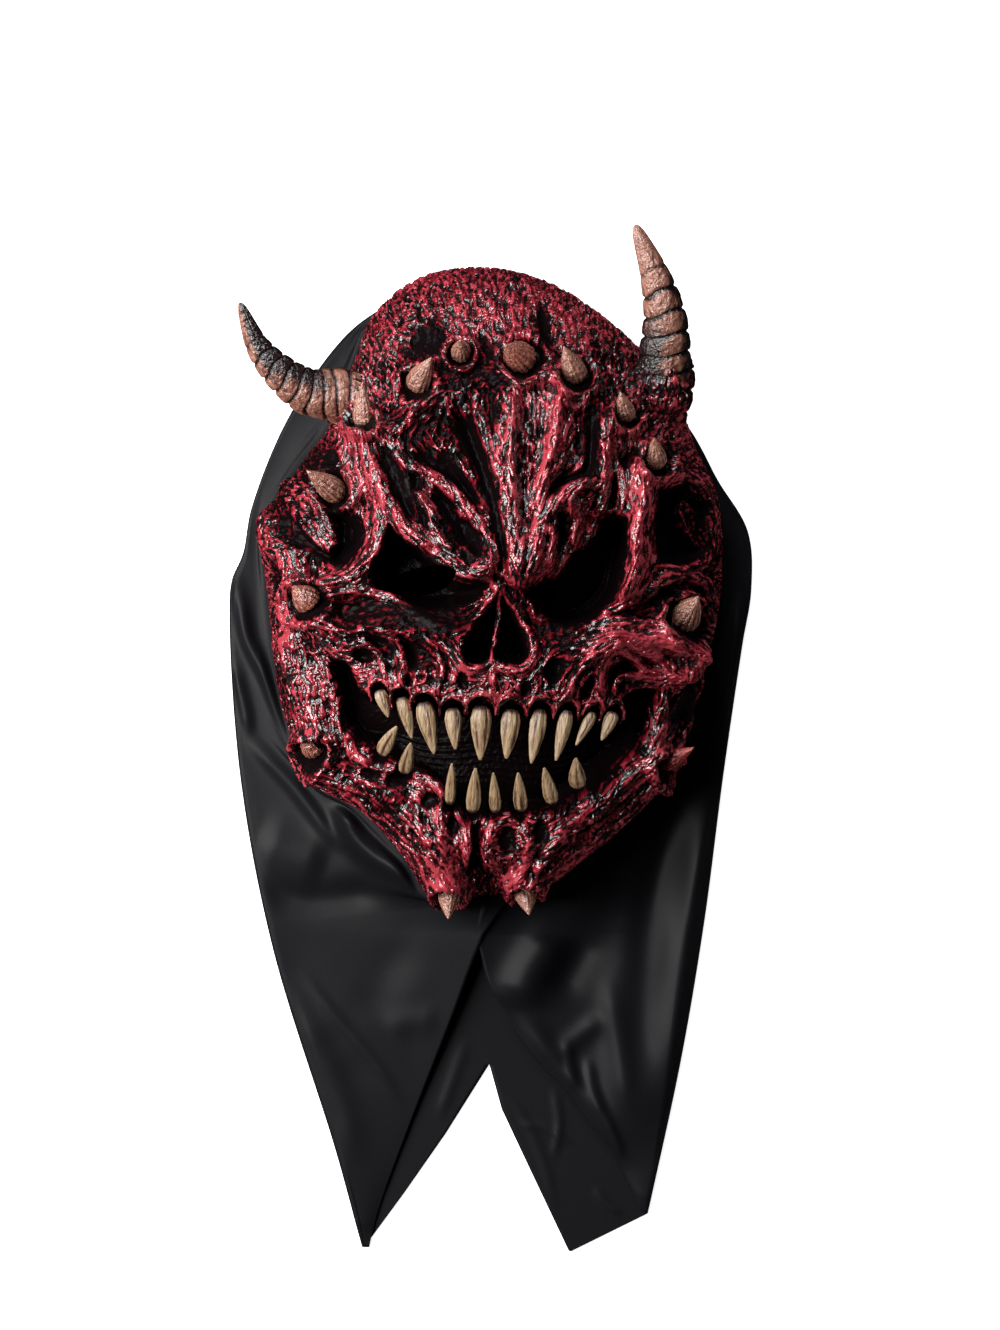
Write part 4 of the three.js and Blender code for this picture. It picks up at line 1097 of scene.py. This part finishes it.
def lathe_faces(rings, sides):
    """Faces of a closed body made of rings of points, with a point at each end."""
    faces = []
    for k in range(rings - 1):
        for n in range(sides):
            a, b = k * sides + n, k * sides + (n + 1) % sides
            faces.append((a, b, b + sides, a + sides))
    root, tip = rings * sides, rings * sides + 1
    last = (rings - 1) * sides
    for n in range(sides):
        m = (n + 1) % sides
        faces += [(root, m, n), (tip, last + n, last + m)]
    return faces


def lathe_points(middle, across, outward, wide, deep, ends):
    """Points of rings round a middle line, and of the two ends."""
    points = middle + across * wide[..., None] + outward * deep[..., None]
    return np.vstack([points.reshape(-1, 3), *ends])


def with_ends(values, root=0, tip=0):
    """Values of the points of all rings, and then of the two ends."""
    return np.append(np.ravel(values), [root, tip])


def horn_object(name, line, radius, tip_radius, taper, rings, flesh_end, dark_paint_and_shade_sides, materials):
    middle = smooth_line(line, HORN_STEP)
    ahead = unit(np.gradient(middle, axis=0))
    side = unit(np.cross([0, 0, 1], ahead))
    up = np.cross(ahead, side)
    share = np.linspace(0, 1, len(middle))[:, None]
    turn = np.linspace(-0.5 * math.pi, 1.5 * math.pi, HORN_SIDES, endpoint=False)[None, :]

    # rings with grooves between them, cracks and a blunt tip
    slanted = share + HORN_SLANT * np.cos(turn + 1.1) * (1 - share) + 0.006 * np.sin(3 * turn + 9 * share)
    ring = rings * np.clip(slanted / RINGED_SHARE, 0, 1.02) ** 0.9
    to_groove = np.abs(ring - np.round(ring))
    ringed = 1 - smoothstep(slanted, RINGED_SHARE - 0.06, RINGED_SHARE + 0.04)
    crack = soft_noise(turn * 5.5, share * 9 + np.round(ring) * 3.7, 1, 21)
    fine_crack = soft_noise(turn * 13, share * 22 + np.round(ring) * 5.3, 1, 22)
    groove = bell(to_groove / (0.05 + 0.06 * crack)) * ringed
    reach = (radius - tip_radius) * (1 - share ** taper) + tip_radius * np.sqrt(1 - share ** TIP_ROUNDING)
    reach = reach * (1 + RING_BULGE * ringed * (np.sqrt(np.clip(2 * to_groove, 0, 1)) - 0.6))
    reach = reach - RING_DEPTH * groove * (0.4 + 0.6 * reach / radius)
    reach = np.maximum(reach - CRACK_DEPTH * (1 - crack) ** 2 - FINE_CRACK_DEPTH * fine_crack, LEAST_RADIUS)

    # flesh over the root
    ragged = share + 0.07 * (crack - 0.5) + 0.05 * (fine_crack - 0.5)
    flesh = 1 - smoothstep(ragged, flesh_end - 0.02, flesh_end + 0.01)
    along = len(middle) * HORN_STEP * share * np.ones(turn.shape)
    net, number = cells(radius * turn, along, 4, 2.5, 0.5 * math.pi, 23)
    holes = smoothstep(net, 0.08, 0.45) * (0.3 + 0.7 * number)
    reach = reach + FLESH_THICKNESS * flesh * (1 - holes)

    # paint, with dark paint and painted shade on the sides given for each horn
    dark = np.zeros(reach.shape)
    # darker on the side that each faces, within its shares of the length: dark paint and painted shade
    for toward, first, last in dark_paint_and_shade_sides:
        facing = (side @ toward)[:, None] * np.cos(turn) + (up @ toward)[:, None] * np.sin(turn)
        within = smoothstep(share, first, first + 0.25) * (1 - smoothstep(share, last - 0.25, last))
        dark = np.maximum(dark, 0.9 * within * smoothstep(facing + 0.6 * (crack - 0.5), 0.1, 0.8))
    cracked = 0.3 * smoothstep(crack, 0.45, 0.1) + 0.2 * smoothstep(fine_crack, 0.5, 0.9)
    flow = twice(np.repeat(np.arctan2(ahead[:, 1], ahead[:, 0]), HORN_SIDES))
    # dark wash in the grooves and cracks, and painted shade on the given sides; the flesh's paint takes the
    # painted shade too
    values = {
        "dirt_and_shade": with_ends(np.clip(groove + dark + cracked, 0, 1)),
        "paint": with_ends(0.74 - 0.8 * holes - 0.5 * dark),
        "flow_x": with_ends(flow[0]),
        "flow_y": with_ends(flow[1]),
    }
    wide, deep = reach * np.cos(turn), reach * np.sin(turn)
    points = lathe_points(middle[:, None], side[:, None], up[:, None], wide, deep, (middle[0], middle[-1]))
    horn = new_object(name, points, lathe_faces(len(middle), HORN_SIDES), materials[0], values)
    second_material(horn, materials[1], (flesh[:-1] > 0.5).ravel())
    return horn


def thorn(root, tip, flat_side, width, depth, profile, ribs, rib_depth, seed, bend=0.0):
    """Rings of a fluted thorn from root to tip, deep towards the flat side's normal, and its dark paint
    between the ribs with painted shade at the root.
    """
    axis = tip - root
    length = np.linalg.norm(axis)
    ahead = axis / length
    across = unit(np.cross(flat_side, ahead))
    outward = np.cross(ahead, across)
    share = np.linspace(0, 1, THORN_RINGS)[:, None]
    turn = np.linspace(0, 2 * math.pi, THORN_SIDES, endpoint=False)[None, :]
    size, before, after = (np.interp(share + step, *zip(*profile)) for step in (0, -0.03, 0.03))
    uneven = soft_noise(turn * 2, share * 2 + seed * 3.1, 1, seed)
    rib = np.cos(ribs * turn + 4 * (uneven - 0.5) + seed) * (1 - smoothstep(share, 0.7, 1.0))
    reach = 0.25 * (2 * size + before + after) * (1 + rib_depth * rib + 0.1 * (uneven - 0.5))
    middle = root + axis * share[..., None] + outward * (bend * length * share * (1 - share))[..., None]
    wide, deep = 0.5 * width * reach * np.cos(turn), 0.5 * depth * reach * np.sin(turn)
    dirt_and_shade = np.clip(0.5 - 0.5 * rib, 0, 1) ** 3 * uneven ** 1.3
    # painted shade at the root, where the thorn goes into the flesh; dark paint between the ribs above it
    dirt_and_shade = 0.9 * np.maximum(dirt_and_shade * (1 - smoothstep(share, 0.6, 1)), 1 - smoothstep(share, 0, 0.12))
    return lathe_points(middle, across, outward, wide, deep, (root, tip)), with_ends(dirt_and_shade, root=1)


def thorns_object(name, thorns, material, red_ones=()):
    """One object of several thorns."""
    faces = []
    for k in range(len(thorns)):
        first = k * len(thorns[0][0])
        faces += [tuple(first + n for n in face) for face in lathe_faces(THORN_RINGS, THORN_SIDES)]
    points, dirt_and_shade = (np.concatenate(group) for group in zip(*thorns))
    red = np.repeat([dict(red_ones).get(k, 0.0) for k in range(len(thorns))], len(thorns[0][0]))
    return new_object(name, points, faces, material, {"dirt_and_shade": dirt_and_shade, "red": red})


def on_dome(x, y, height):
    """A place at a height over the plain dome."""
    return np.array([x, y, dome_height(np.array(x), np.array(y)) + height])


def spike_thorns(skin):
    thorns = []
    for k, (root, tip, width, length) in enumerate(SPIKES):
        place, normal = skin(root)
        lean = np.array(tip) - root
        rise = math.sqrt(max(length ** 2 - lean @ lean, 4))
        lean = SPIKE_REACH * lean + 1.5 * unit(lean)
        point = on_dome(*root, rise) + (*lean, 0)
        base = place - SPIKE_DEPTH * normal - (*(0.1 * lean), 0)
        thorns.append(thorn(base, point, normal, width, 0.95 * width, SPIKE_PROFILE, 15, 0.04, k + 1, 0.05))
    return thorns


def tooth_thorns(teeth, seed):
    thorns = []
    for k, (root, tip, width) in enumerate(teeth):
        ends = (on_dome(*root, TEETH_STAND_OUT - TOOTH_LEAN), on_dome(*tip, TEETH_STAND_OUT))
        thorns.append(thorn(*ends, (0, 0, 1), 1.03 * width, 0.6 * width, TOOTH_PROFILE, 5, 0.06, seed + k))
    return thorns


# Materials

class Nodes:
    """The nodes of a new material, with its main shader."""

    def __init__(self, name):
        self.material = bpy.data.materials.new(name)
        self.material.use_nodes = True
        self.tree = self.material.node_tree
        self.shader = self.tree.nodes["Principled BSDF"]

    def fill(self, node, values):
        """Sets inputs by name or number. An output is linked, and anything else is set as the value."""
        for key, value in values.items():
            if isinstance(value, bpy.types.NodeSocket):
                self.tree.links.new(value, node.inputs[key])
            else:
                node.inputs[key].default_value = value

    def add(self, kind, values, **settings):
        node = self.tree.nodes.new("ShaderNode" + kind)
        for key, value in settings.items():
            setattr(node, key, value)
        self.fill(node, values)
        return node.outputs

    def place(self, stretch=(1, 1, 1)):
        """Places on the object in metres, times a stretch along each axis."""
        place = self.add("TexCoord", {})["Object"]
        return self.add("Mapping", {"Vector": place, "Scale": stretch})["Vector"]

    def value(self, name):
        return self.add("Attribute", {}, attribute_name=name)["Fac"]

    def noise(self, place, scale, detail, roughness=0.5):
        values = {"Vector": place, "Scale": scale, "Detail": detail, "Roughness": roughness}
        return self.add("TexNoise", values)["Fac"]

    def maths(self, operation, *values):
        return self.add("Math", dict(enumerate(values)), operation=operation)[0]

    def spread(self, value, low, high, to_low=0.0, to_high=1.0):
        """A value from low to high, smoothly turned into one from to_low to to_high."""
        numbers = dict(enumerate((value, low, high, to_low, to_high)))
        return self.add("MapRange", numbers, interpolation_type="SMOOTHSTEP")["Result"]

    def ramp(self, value, stops):
        outputs = self.add("ValToRGB", {"Fac": value})
        elements = outputs["Color"].node.color_ramp.elements
        while len(elements) < len(stops):
            elements.new(0.5)
        for element, (position, colour) in zip(elements, stops):
            element.position = position
            element.color = (*colour, 1)
        return outputs["Color"]

    def bump(self, height, depth, strength=1.0):
        """Relief of the given depth in millimetres."""
        values = {"Height": height, "Distance": depth * MM, "Strength": strength}
        self.fill(self.shader, {"Normal": self.add("Bump", values)["Normal"]})


def string_pattern(nodes, place):
    """Noise drawn out along the flow of the strands: its mean over places in a row along the flow."""
    flow_x, flow_y = nodes.value("flow_x"), nodes.value("flow_y")
    waves, swing = STRING_SWAY
    sway = nodes.maths("MULTIPLY_ADD", nodes.noise(place, waves, 1), swing, -0.5 * swing)
    turn = nodes.maths("MULTIPLY_ADD", nodes.maths("ARCTAN2", flow_y, flow_x), 0.5, sway)
    reach = nodes.maths("MULTIPLY_ADD", flow_y, flow_y, nodes.maths("MULTIPLY", flow_x, flow_x))
    reach = nodes.maths("SQRT", reach)
    ahead = [nodes.maths("MULTIPLY", nodes.maths(wave, turn), reach) for wave in ("COSINE", "SINE")]
    ahead = nodes.add("CombineXYZ", {"X": ahead[0], "Y": ahead[1]})["Vector"]
    total = 0.0
    for step in STRING_STEPS:
        moves = {0: ahead, 1: [step * MM] * 3, 2: place}
        moved = nodes.add("VectorMath", moves, operation="MULTIPLY_ADD")["Vector"]
        total = nodes.maths("ADD", nodes.noise(moved, STRING_SCALE, 0), total)
    return nodes.maths("DIVIDE", total, len(STRING_STEPS))


def flesh_material(name, roughness, gloss):
    """Red strings over black: a string is where the drawn-out noise is high."""
    nodes = Nodes(name)
    place = nodes.place()
    paint = nodes.value("paint")
    string = nodes.spread(string_pattern(nodes, nodes.place((1, 1, DOWNWARD))), *STRING_EDGE)
    share = nodes.spread(nodes.noise(place, 100, 1), 0.35, 0.65, *STRING_PAINT)
    lifted = nodes.maths("MULTIPLY", nodes.maths("SUBTRACT", string, STRING_MIDDLE), share)
    speckle = nodes.noise(place, 420, 2)
    broken = nodes.maths("MULTIPLY_ADD", speckle, SPECKLE, -0.5 * SPECKLE)
    red = nodes.maths("ADD", nodes.maths("ADD", paint, broken), lifted)
    relief = nodes.maths("MULTIPLY_ADD", speckle, FACETS, string)
    nodes.bump(nodes.maths("MULTIPLY", relief, nodes.spread(paint, *SMOOTH_SOOT)), STRING_DEPTH)
    nodes.fill(nodes.shader, {
        "Base Color": nodes.ramp(red, FLESH_COLOURS),
        "Roughness": nodes.spread(red, 0.1, 0.7, 0.3, roughness),
        "Specular IOR Level": gloss,
    })
    return nodes.material


def streaked_material(name, stops, roughness, streaks, depth, gloss=0.5):
    """Paint in steps from the crests to the dark wash in the grooves and the painted shade, streaked, with a
    red wash over a part.
    """
    nodes = Nodes(name)
    speckle = nodes.noise(nodes.place(streaks), 1, 3, 0.6)
    broken = nodes.maths("MULTIPLY", nodes.maths("SUBTRACT", speckle, 0.5), 0.9)
    # darker with the dark paint in the grooves and with the painted shade
    paint = nodes.ramp(nodes.maths("ADD", nodes.value("dirt_and_shade"), broken), stops)
    wash = {"Factor": nodes.value("red"), "A": paint, "B": RED_WASH}
    colour = nodes.add("Mix", wash, data_type="RGBA", blend_type="MULTIPLY")["Result"]
    nodes.bump(speckle, depth)
    nodes.fill(nodes.shader, {"Base Color": colour, "Roughness": roughness, "Specular IOR Level": gloss})
    return nodes.material


def cloth_material():
    nodes = Nodes("black_satin")
    nodes.bump(nodes.noise(nodes.place(), 1500, 2), 0.2, 0.25)
    nodes.fill(nodes.shader, {"Base Color": CLOTH_COLOUR, "Roughness": 0.47, "Specular IOR Level": 0.1})
    return nodes.material


# Stage, lights and camera

def area_light(name, place, target, size, power, colour):
    data = bpy.data.lights.new(name, "AREA")
    data.shape = "RECTANGLE"
    data.size, data.size_y = size
    data.energy = power
    data.color = colour
    light = bpy.data.objects.new(name, data)
    light.location = place
    light.rotation_euler = (Vector(target) - Vector(place)).to_track_quat("-Z", "Y").to_euler()
    bpy.context.scene.collection.objects.link(light)


def stage():
    nodes = Nodes("pale_floor")
    nodes.fill(nodes.shader, {
        "Base Color": (0.9, 0.9, 0.9, 1),
        "Roughness": 0.9,
        "Emission Color": (1, 1, 1, 1),
        "Emission Strength": FLOOR_GLOW,
    })
    corners = [(x * FLOOR_HALF, y * FLOOR_HALF, FLOOR_Z) for x, y in ((-1, -1), (1, -1), (1, 1), (-1, 1))]
    floor = new_object("floor", corners, [(0, 1, 2, 3)], nodes.material)
    floor.visible_glossy = False
    for light in LIGHTS:
        area_light(*light)
    world = bpy.data.worlds.new("studio")
    world.use_nodes = True
    background = world.node_tree.nodes["Background"]
    background.inputs["Color"].default_value = SKY_COLOUR
    background.inputs["Strength"].default_value = SKY_STRENGTH
    bpy.context.scene.world = world
    bpy.context.scene.view_settings.view_transform = "Standard"


def camera():
    data = bpy.data.cameras.new("camera")
    data.sensor_width = SENSOR
    data.lens = LENS
    made = bpy.data.objects.new("camera", data)
    made.location = Vector(CAMERA_PLACE) * MM
    bpy.context.scene.collection.objects.link(made)
    bpy.context.scene.camera = made


camera()
stage()
flesh = flesh_material("wet_flesh", 0.18, 0.9)
face, skin = face_object(flesh, flesh_material("dull_flesh", 0.4, 0.035))
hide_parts("latex_mask")
horn_paint = streaked_material("painted_horn", HORN_COLOURS, 0.2, (500, 500, 500), 1.6, 1.0)
tooth_paint = streaked_material("painted_teeth", TOOTH_COLOURS, 0.35, (1100, 180, 600), 0.7)
casting = [face]
casting += [horn_object(name, *sizes, (horn_paint, flesh)) for name, sizes in HORNS.items()]
casting.append(thorns_object("spikes", spike_thorns(skin), horn_paint, RED_SPIKES))
casting.append(thorns_object("upper_teeth", tooth_thorns(UPPER_TEETH, 31), tooth_paint))
casting.append(thorns_object("lower_teeth", tooth_thorns(LOWER_TEETH, 51), tooth_paint))
for piece in casting:
    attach(piece, "root")
hood = hood_objects(cloth_material())
for piece in hood:
    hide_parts("cloth_hood")
    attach(piece, "root")
